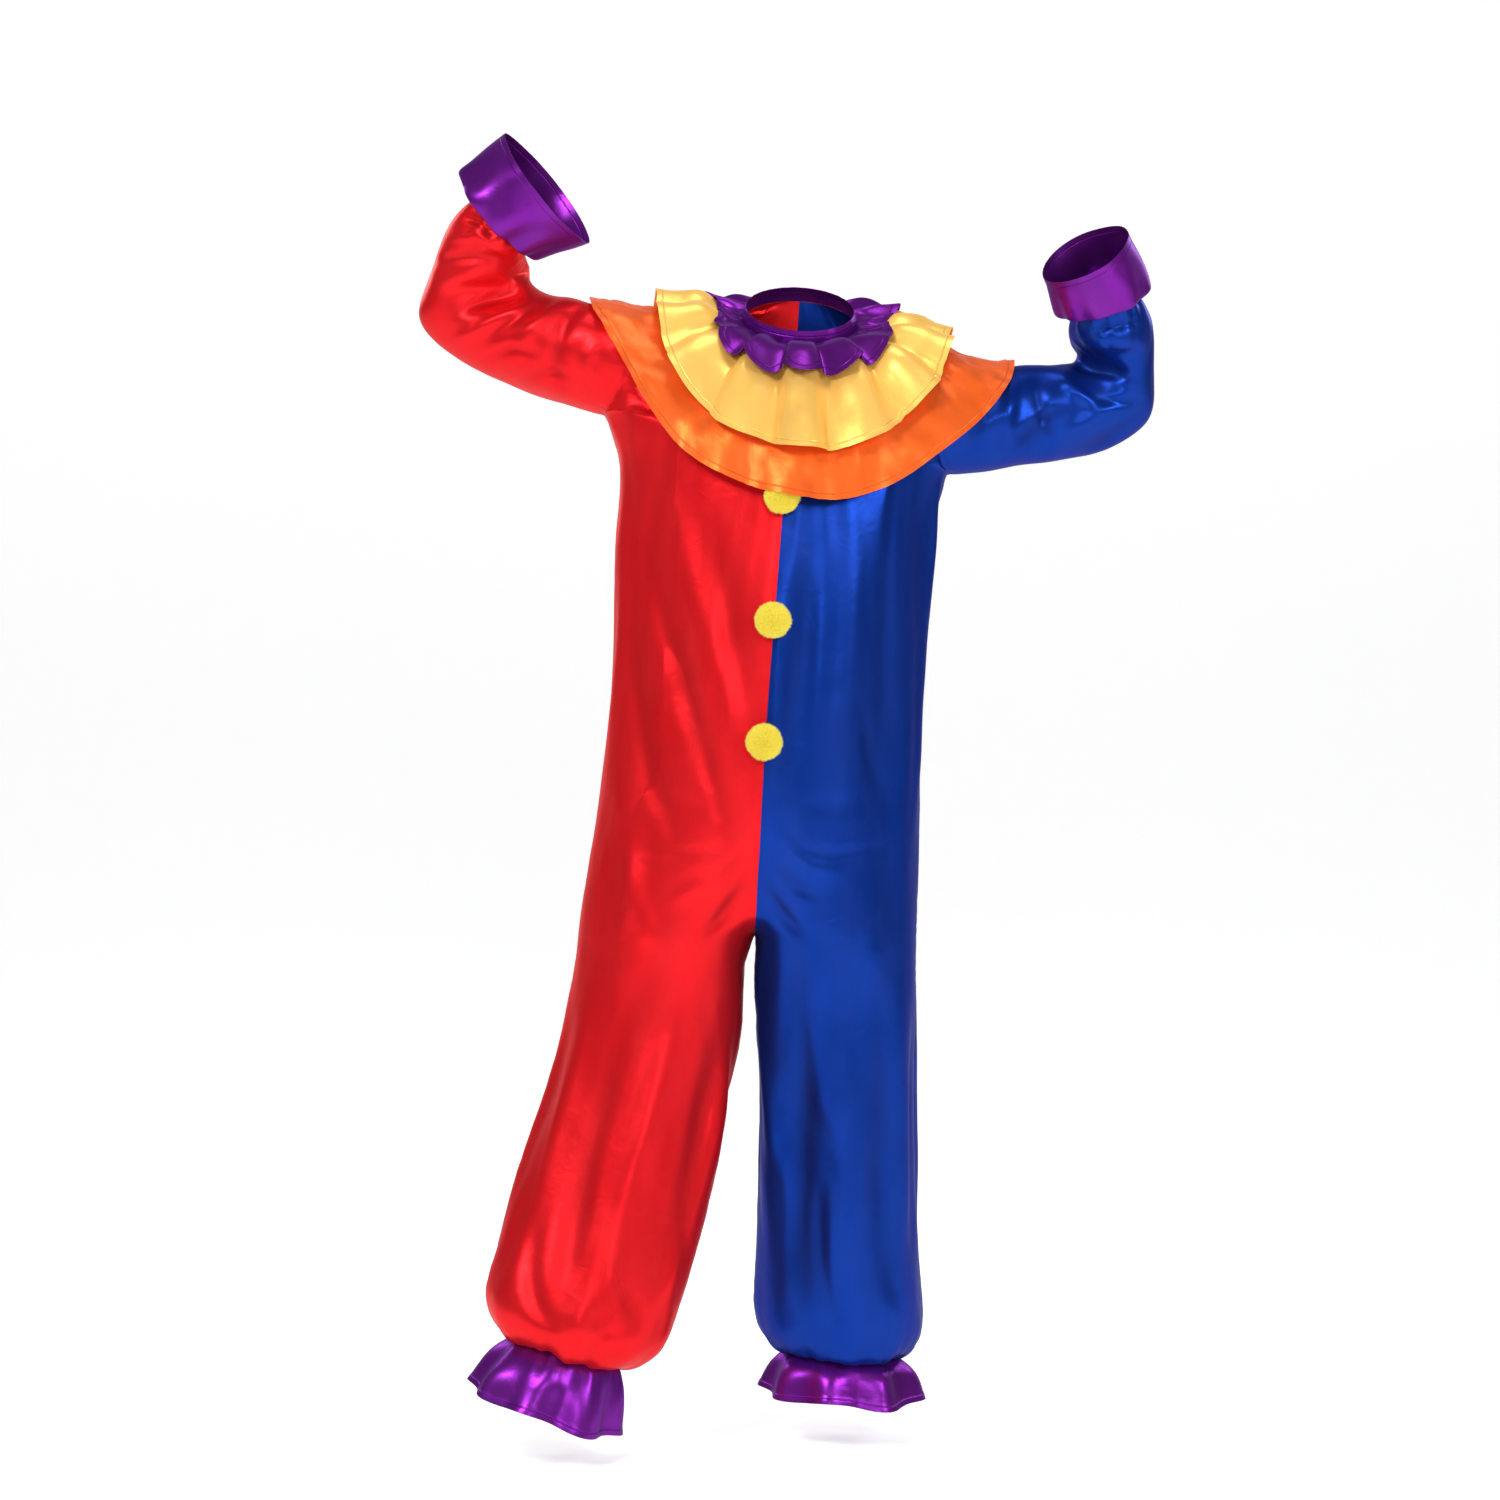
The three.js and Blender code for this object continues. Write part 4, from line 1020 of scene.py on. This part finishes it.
class ClownColours(bpy.types.PropertyGroup):
    """Colours of the suit"""

    red: bpy.props.FloatVectorProperty(
        name="Red", description="The suit's right half", subtype="COLOR", default=(0.74, 0.007, 0.012)
    )
    blue: bpy.props.FloatVectorProperty(
        name="Blue", description="The suit's left half", subtype="COLOR", default=(0.001, 0.032, 0.285)
    )
    purple: bpy.props.FloatVectorProperty(
        name="Purple", description="Neck and limb frills", subtype="COLOR", default=(0.165, 0.006, 0.27)
    )
    yellow: bpy.props.FloatVectorProperty(
        name="Yellow", description="Upper collar tier", subtype="COLOR", default=(1.0, 0.57, 0.10)
    )
    orange: bpy.props.FloatVectorProperty(
        name="Orange", description="Lower collar tier", subtype="COLOR", default=(0.9, 0.125, 0.009)
    )
    pompom: bpy.props.FloatVectorProperty(
        name="Pompoms", description="Yarn of the pompoms", subtype="COLOR", default=(1.0, 0.84, 0.05)
    )


class StageSettings(bpy.types.PropertyGroup):
    """The floor, the light and the camera"""

    floor: bpy.props.FloatVectorProperty(
        name="Floor", description="Floor and backdrop", subtype="COLOR", default=(0.86, 0.86, 0.85)
    )
    light: bpy.props.FloatProperty(
        name="Light", description="Scale of all the lamps", default=1.0, min=0.0
    )
    distance: bpy.props.FloatProperty(
        name="Camera distance", description="From the suit to the camera", default=4.5, unit="LENGTH"
    )


class CLOWN_OT_stage(bpy.types.Operator):
    """Sets up the floor, the lamps and the camera"""

    bl_idname = "clown.stage"
    bl_label = "Stage"

    def execute(self, context):
        stage = context.scene.clown_stage
        self.floor(context, stage)
        self.lamps(context, stage)
        camera = bpy.data.cameras.new("camera")
        camera.sensor_width = 36.0
        camera.lens = camera.sensor_width * stage.distance / VIEW_WIDTH
        obj = bpy.data.objects.new("camera", camera)
        obj.location = (VIEW_MIDDLE[0], -stage.distance, VIEW_MIDDLE[1])
        obj.rotation_euler = (math.radians(90), 0, 0)
        context.scene.collection.objects.link(obj)
        context.scene.camera = obj
        context.scene.view_settings.view_transform = "Standard"
        return {"FINISHED"}

    def floor(self, context, stage):
        """A pale floor that bends up into the wall behind."""
        floor_z = CAD_BOX[0].z - FLOOR_GAP
        bpy.ops.mesh.primitive_plane_add(size=1, location=(0, 0, floor_z))
        floor = context.view_layer.objects.active
        floor.name = "floor"
        floor.scale = (FLOOR_WIDTH, FLOOR_WIDTH, 1)
        bpy.ops.object.transform_apply(location=True, rotation=True, scale=True)
        bm = bmesh.new()
        bm.from_mesh(floor.data)
        edge_y = FLOOR_WIDTH / 2 - 0.1
        far = [e for e in bm.edges if all(v.co.y > edge_y for v in e.verts)]
        wall = bmesh.ops.extrude_edge_only(bm, edges=far)
        top = [g for g in wall["geom"] if isinstance(g, bmesh.types.BMVert)]
        bmesh.ops.translate(bm, vec=(0, 0, BACK_WALL), verts=top)
        bend = [e for e in bm.edges if all(abs(v.co.z - floor_z) < 1e-6 and v.co.y > edge_y for v in e.verts)]
        bmesh.ops.bevel(bm, geom=bend, offset=WALL_BEND, segments=16, profile=0.5, affect="EDGES")
        bmesh.ops.recalc_face_normals(bm, faces=bm.faces)
        bm.to_mesh(floor.data)
        bm.free()
        only(floor)
        bpy.ops.object.shade_smooth()
        shader = Shader("pale floor")
        place = shader.add("ShaderNodeTexCoord", output=3)
        grain = shader.add("ShaderNodeTexNoise", {}, {"Vector": place, "Scale": 3.0, "Detail": 3.0})
        tone = shader.mixed(grain * 0.2, (*stage.floor, 1.0), shaded(stage.floor, 0.96))
        surface = shader.finish(
            {
                "Base Color": tone,
                "Roughness": 0.65,
                "Emission Color": (1.0, 1.0, 1.0, 1.0),
                "Emission Strength": 0.55,
            }
        )
        floor.data.materials.append(surface)

    def lamps(self, context, stage):
        """Soft square lamps round the suit, and a little light from all sides."""
        for name, (place, size, power) in LAMPS.items():
            lamp = bpy.data.lights.new(name, "AREA")
            lamp.shape = "SQUARE"
            lamp.size = size
            lamp.energy = power * stage.light
            obj = bpy.data.objects.new(name, lamp)
            obj.location = place
            obj.rotation_euler = (Vector(LIT_MIDDLE) - Vector(place)).to_track_quat("-Z", "Y").to_euler()
            context.scene.collection.objects.link(obj)
        world = bpy.data.worlds.new("studio")
        world.use_nodes = True
        sky = world.node_tree.nodes["Background"].inputs
        sky["Color"].default_value = (0.95, 0.97, 1.0, 1.0)
        sky["Strength"].default_value = 0.22
        context.scene.world = world


class CLOWN_OT_body(bpy.types.Operator):
    """Makes the two halves of the suit and the sleeves"""

    bl_idname = "clown.body"
    bl_label = "Suit and sleeves"

    def execute(self, context):
        sizes = context.scene.clown_sizes
        names = list(BODY_PIECES)
        body = sewn_together("body", names)
        rounded(body, 2)
        skin = Skin(body)
        skin.relax(4, 0.5)
        even_out(skin, 1, CROTCH, 0.15, np.ones(len(skin.co), dtype=bool))
        even_out(skin, 0, CROTCH, 0.12, np.abs(skin.co[:, 0] + 0.07) > 0.13)
        before = skin.co.copy()
        skin.push(0.5 * folds_on(skin, body_folds()))
        held = np.maximum(1 - smooth(distance_from(skin, skin.boundary, 3) / 0.016), 0.02)
        settle(body, held, resting_form(body.data, 0.014), 0.05, 16, 0.013)
        out = smooth((np.abs(before[:, 0] + 0.03) - 0.13) / 0.07)
        on_sleeve = out * smooth((before[:, 2] + 0.3) / 0.1)
        share = (1 - SLEEVE_CALM * on_sleeve)[:, None]
        place_points(body.data, before + share * (points_of(body.data) - before))
        MADE["body form"] = body.data.copy()
        apply_modifier(body, "SUBSURF", levels=1, render_levels=1)
        skin = Skin(body)
        loops = self.edge_loops(skin)
        height = sizes.folds * folds_on(skin, body_folds())
        drift = noise_at(skin.co, (0.05, 0.05, 0.16), 3.0) * 0.0016
        drift += noise_at(skin.co, (0.022, 0.022, 0.06), 7.0) * 0.0006
        height += drift
        for key, (count, high, reach, seed) in ELASTICS.items():
            height += ring_gathers(skin, loops[key], count, high * sizes.gathers, reach, seed)
        height += pucker_height(skin, skin.seams, 0.0016, 0.014, 0.0085, 2.0)
        quiet = smooth((distance_from(skin, loops["neck"], 3) - 0.01) / 0.05)
        skin.push(height * quiet)
        skin.relax(1, 0.35)
        MADE["body cloth"] = body.data.copy()
        store(body.data, "hollow", hollows(height, 0.006))
        store(body.data, "edge", np.full(len(skin.co), 1.0))
        for node, obj in self.cut_apart(body, names).items():
            cloth_piece(obj, node, BODY_PIECES[node])
        return {"FINISHED"}

    def edge_loops(self, skin):
        """The open edges of the body, by the end that they belong to."""
        middle = skin.co[skin.boundary].mean(1)
        tests = {
            "right ankle": (middle[:, 2] < -1.2) & (middle[:, 0] < -0.12),
            "left ankle": (middle[:, 2] < -1.2) & (middle[:, 0] > -0.12),
            "right wrist": (middle[:, 2] > -0.3) & (middle[:, 0] < -0.3),
            "left wrist": (middle[:, 2] > -0.3) & (middle[:, 0] > 0.3),
            "neck": (np.abs(middle[:, 0]) < 0.15) & (middle[:, 2] > -0.2),
        }
        loops = {key: skin.boundary[test] for key, test in tests.items()}
        if min(len(lines) for lines in loops.values()) < 8:
            raise RuntimeError("the body has lost one of its open edges")
        return loops

    def cut_apart(self, body, names):
        """Splits the sewn body along its seams into its cut pieces."""
        pieces = {}
        for index, node in enumerate(names):
            bm = bmesh.new()
            bm.from_mesh(body.data)
            others = [f for f in bm.faces if f.material_index != index]
            bmesh.ops.delete(bm, geom=others, context="FACES")
            mesh = bpy.data.meshes.new("cloth_" + node)
            bm.to_mesh(mesh)
            bm.free()
            pieces[node] = new_object("cloth_" + node, mesh)
        bpy.data.objects.remove(body)
        return pieces


class CLOWN_OT_collar(bpy.types.Operator):
    """Makes the three tiers of the collar and the neck band"""

    bl_idname = "clown.collar"
    bl_label = "Collar"

    def execute(self, context):
        below = MADE.pop("body form")
        cloth_below = MADE.pop("body cloth")
        for node in TIERS:
            below = self.tier(node, below, cloth_below, context.scene.clown_sizes.folds)
            cloth_below = below
        self.band()
        return {"FINISHED"}

    def tier(self, node, below, cloth_below, depth):
        """Makes one tier on the cloth below it, and gives a copy of its surface."""
        slot, levels, (fine, high, reach), (broad, low), seed, slack, cap = TIERS[node]
        tier = sewn_together("cloth_" + node, [node])
        rounded(tier, levels)
        skin = Skin(tier)
        inner, outer = self.rims(skin)
        if node == "orange_tier":
            skin.co[:, 2] -= SHOULDER_SAG * smooth((np.abs(skin.co[:, 0] + 0.03) - 0.19) / 0.09)
            place_points(tier.data, skin.co)
            skin.read()
        if node in WAVES:
            self.round_waves(skin, inner, outer, *WAVES[node])
        if cap:
            held = np.maximum(1 - smooth((distance_from(skin, inner, 4) - 0.008) / 0.02), 0.008)
            settle(tier, held, resting_form(below, -0.0005), slack, 14, cap)
            skin = Skin(tier)
        from_seam = distance_from(skin, inner, 4)
        from_hem = distance_from(skin, outer, 4)
        share = from_seam / (from_seam + from_hem)
        angle = angle_round(skin.co)
        ring = np.stack([np.sin(angle), np.cos(angle), share * 0.35], axis=1)
        close = noise_at(ring, math.pi / fine, seed) * np.exp(-((share / reach) ** 2))
        wide = noise_at(ring + 0.05 * np.sin(9 * share)[:, None], math.pi / broad, seed + 4.0)
        drag = noise_at(ring, (0.10, 0.10, 0.16), seed + 8.0)
        height = high * close + low * wide * smooth(share * 3) + 0.0008 * drag
        if node == "orange_tier":
            turned = np.stack([ring[:, 0] + 0.8 * share, ring[:, 1], share * 0.6], axis=1)
            height += 0.0042 * noise_at(turned, (0.055, 0.055, 0.3), seed + 21.0) * smooth(share * 3)
        height *= depth * smooth(from_seam / 0.006)
        height = np.minimum(height, 0.0008 + 0.12 * from_seam)
        puff = np.exp(-(((share - 0.5) / 0.26) ** 2)) * np.sin(angle) ** 2
        height += PUFFS[node] * puff
        height += hem_relief(from_hem)
        skin.push(height)
        stand_clear(skin, cloth_below, 0.0016 * smooth((from_seam - 0.001) / 0.008) - 0.0004)
        skin.relax(1, 0.3)
        surface = tier.data.copy()
        store(tier.data, "hollow", hollows(height, 0.004))
        store(tier.data, "edge", from_hem)
        cloth_piece(tier, node, slot)
        return surface

    def band(self):
        """Makes the bias strip round the neck."""
        band = sewn_together("cloth_neck_band", ["neck_band"])
        rounded(band, 2)
        skin = Skin(band)
        from_seam = distance_from(skin, self.rims(skin)[0], 4)
        angle = angle_round(skin.co)
        ring = np.stack([np.sin(angle), np.cos(angle), from_seam * 4], axis=1)
        height = 0.0006 * noise_at(ring, 0.09, 21.0)
        skin.push(height)
        store(band.data, "hollow", hollows(height, 0.002))
        store(band.data, "edge", from_seam)
        cloth_piece(band, "neck_band", "purple_satin")

    def round_waves(self, skin, inner, outer, waves, wider, lift, droop):
        """Widens the crests of a tier's waves, narrows the hollows between them and lets the crests hang."""
        from_seam = distance_from(skin, inner, 4)
        from_hem = distance_from(skin, outer, 4)
        share = from_seam / (from_seam + from_hem)
        angle = angle_round(skin.co)
        ring = np.linspace(-math.pi, math.pi, 721)
        rim = skin.co[np.unique(outer)]
        rim_angle = angle_round(rim)
        order = np.argsort(rim_angle)
        height = np.interp(ring, rim_angle[order], rim[order, 2], period=2 * math.pi)
        basis = np.stack([np.cos(waves * ring), np.sin(waves * ring)])
        turn = math.atan2(basis[1] @ height, basis[0] @ height)
        phase = waves * angle - turn
        crest = (0.5 + 0.5 * np.cos(phase)) * share * np.cos(angle) ** 2
        shift = wider / waves * np.sin(phase) * smooth(share * 2.2)
        radius = np.hypot(skin.co[:, 0], skin.co[:, 1]) + 0.45 * droop * crest
        moved = skin.co.copy()
        moved[:, 0] = radius * np.sin(angle + shift)
        moved[:, 1] = -radius * np.cos(angle + shift)
        moved[:, 2] -= droop * (crest + 0.55 * share * np.sin(angle) ** 4)
        place_points(skin.obj.data, moved)
        skin.read()
        skin.push(lift * np.cos(phase) * smooth(share * 2) + 0.002 * np.sin(angle) ** 2 * share)

    def rims(self, skin):
        """The inner and the outer open edge of a tier."""
        middle = skin.co[skin.boundary].mean(1)
        reach = np.linalg.norm(middle - NECK_MIDDLE, axis=1)
        order = {}
        for index, (a, b) in enumerate(skin.boundary):
            order.setdefault(a, []).append(index)
            order.setdefault(b, []).append(index)
        label = np.full(len(skin.boundary), -1)
        group = 0
        for start in range(len(skin.boundary)):
            if label[start] >= 0:
                continue
            stack = [start]
            while stack:
                index = stack.pop()
                if label[index] >= 0:
                    continue
                label[index] = group
                for corner in skin.boundary[index]:
                    stack.extend(i for i in order[corner] if label[i] < 0)
            group += 1
        if group != 2:
            raise RuntimeError("a tier has to have two open edges, and has %d" % group)
        first = reach[label == 0].mean() < reach[label == 1].mean()
        inner, outer = (0, 1) if first else (1, 0)
        return skin.boundary[label == inner], skin.boundary[label == outer]


class CLOWN_OT_frills(bpy.types.Operator):
    """Makes the frills at the wrists and ankles"""

    bl_idname = "clown.frills"
    bl_label = "Wrist and ankle frills"

    def execute(self, context):
        depth = context.scene.clown_sizes.gathers
        for node, (elastic, hangs_from, seed, count, high) in FRILLS.items():
            frill = sewn_together("cloth_" + node, [node])
            rounded(frill, 3)
            skin = Skin(frill)
            inner, outer = self.rims(skin, np.array(elastic))
            centre = skin.co[inner.ravel()].mean(0)
            spots, from_seam = nearest(skin.co, along_edges(skin.co, inner, 4))
            from_hem = distance_from(skin, outer, 4)
            ring = spots - centre
            ring = ring / np.linalg.norm(ring, axis=1)[:, None]
            share = from_seam / (from_seam + from_hem)
            soft = ring + np.stack([share * 0.2] * 3, axis=1)
            fine = noise_at(ring, math.pi / count, seed) * np.exp(-((share / 0.42) ** 2))
            wide = noise_at(soft, 2 * math.pi / count, seed + 3.0) * smooth(share * 2.5)
            planes = noise_at(skin.co, 0.045, seed + 6.0) * smooth(share * 3)
            height = depth * (high * (fine + 0.8 * wide) + 0.0032 * planes)
            height *= smooth(from_seam / 0.004)
            height += hem_relief(from_hem)
            skin.push(height)
            store(frill.data, "hollow", hollows(height, 0.005))
            store(frill.data, "edge", from_hem)
            cloth_piece(frill, node, "purple_satin")
        return {"FINISHED"}

    def rims(self, skin, elastic):
        """The gathered edge and the hem of a frill."""
        middle = skin.co[skin.boundary].mean(1)
        reach = np.linalg.norm(middle - elastic, axis=1)
        cut = (reach.min() + reach.max()) / 2
        return skin.boundary[reach < cut], skin.boundary[reach >= cut]


class CLOWN_OT_pompoms(bpy.types.Operator):
    """Makes the pompoms of cut yarn"""

    bl_idname = "clown.pompoms"
    bl_label = "Pompoms"

    def execute(self, context):
        pile = context.scene.clown_sizes.pile
        for number in (1, 2, 3):
            node = "pompom_%d" % number
            obj = self.tufted(node, number, pile)
            obj.data.materials.append(finish_of("pompom_yarn"))
            only(obj)
            bpy.ops.object.shade_smooth()
            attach(obj, "root")
            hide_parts(node)
        return {"FINISHED"}

    def tufted(self, node, number, pile):
        """A ball of short curved tufts round a core, flat where it is sewn on."""
        rng = random.Random(40 + number)
        low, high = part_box(node)
        centre = (low + high) / 2
        half = (high - low) / 2
        verts = []
        faces = []
        tips = []
        shifts = []
        turn = math.pi * (3 - math.sqrt(5))
        core = Vector([h - pile * 0.8 for h in half])
        for index in range(TUFTS):
            z = 1 - 2 * (index + 0.5) / TUFTS
            ring = math.sqrt(1 - z * z)
            angle = index * turn + rng.uniform(-0.04, 0.04)
            way = Vector((ring * math.cos(angle), z, ring * math.sin(angle)))
            root = Vector([centre[i] + way[i] * core[i] for i in range(3)])
            if root.y > high.y - SEWN_GAP:
                continue
            lump = noise.noise(way * 2.6 + Vector((number * 3.7, 0, 0)))
            length = pile * (1.15 + 0.28 * lump + rng.uniform(-0.16, 0.16))
            lean = Vector((rng.gauss(0, 0.3), rng.gauss(0, 0.3), rng.gauss(0, 0.3)))
            out = (way + lean).normalized()
            curl = Vector((rng.gauss(0, 0.35), rng.gauss(0, 0.35), rng.gauss(0, 0.35) - 0.12))
            end = (out + curl).normalized()
            side = out.orthogonal().normalized()
            other = out.cross(side)
            thick = rng.uniform(0.00042, 0.00062)
            first = len(verts)
            shift = rng.random()
            middle = root + out * length * 0.55
            for place, wide, tip in ((root, thick, 0.0), (middle, thick * 0.9, 0.75)):
                for corner in range(3):
                    a = corner * 2 * math.pi / 3 + shift * 6
                    verts.append(place + (side * math.cos(a) + other * math.sin(a)) * wide)
                    tips.append(tip)
                    shifts.append(shift)
            verts.append(middle + end * length * 0.45)
            tips.append(1.0)
            shifts.append(shift)
            for corner in range(3):
                after = (corner + 1) % 3
                faces.append((first + corner, first + after, first + 3 + after, first + 3 + corner))
                faces.append((first + 3 + corner, first + 3 + after, first + 6))
        mesh = bpy.data.meshes.new("fluffy_" + node)
        mesh.from_pydata(verts, [], faces)
        bm = bmesh.new()
        bm.from_mesh(mesh)
        core_size = [c + pile * 0.12 for c in core]
        made = bmesh.ops.create_icosphere(
            bm,
            subdivisions=4,
            radius=1.0,
            matrix=Matrix.Translation(centre) @ Matrix.Diagonal((*core_size, 1.0)),
        )
        new = len(made["verts"])
        bm.to_mesh(mesh)
        bm.free()
        # The tip share lets the yarn paint shade on the roots and on the core, deep in the pile.
        store(mesh, "tip", np.array(tips + [0.1] * new))
        store(mesh, "shift", np.array(shifts + [0.5] * new))
        return new_object("fluffy_" + node, mesh)


class CLOWN_PT_panel(bpy.types.Panel):
    """Lists the sizes, colours and steps of the suit"""

    bl_idname = "CLOWN_PT_panel"
    bl_label = "Clown Suit"
    bl_space_type = "VIEW_3D"
    bl_region_type = "UI"
    bl_category = "Clown Suit"

    def draw(self, context):
        layout = self.layout
        for group in (context.scene.clown_sizes, context.scene.clown_colours, context.scene.clown_stage):
            box = layout.box()
            for key in group.__annotations__:
                box.prop(group, key)
        for operator in OPERATORS:
            layout.operator(operator.bl_idname)


OPERATORS = (CLOWN_OT_stage, CLOWN_OT_body, CLOWN_OT_collar, CLOWN_OT_frills, CLOWN_OT_pompoms)
GROUPS = {"clown_sizes": ClownSizes, "clown_colours": ClownColours, "clown_stage": StageSettings}


def register():
    """Makes the settings, the steps and the panel known."""
    for kind in (*GROUPS.values(), *OPERATORS, CLOWN_PT_panel):
        bpy.utils.register_class(kind)
    for key, kind in GROUPS.items():
        setattr(bpy.types.Scene, key, bpy.props.PointerProperty(type=kind))


def unregister():
    """Takes the settings, the steps and the panel away again."""
    for key in GROUPS:
        delattr(bpy.types.Scene, key)
    for kind in (CLOWN_PT_panel, *OPERATORS, *reversed(GROUPS.values())):
        bpy.utils.unregister_class(kind)


def main():
    """Makes the whole suit."""
    register()
    for operator in OPERATORS:
        group, step = operator.bl_idname.split(".")
        getattr(getattr(bpy.ops, group), step)()


if __name__ == "__main__":
    main()
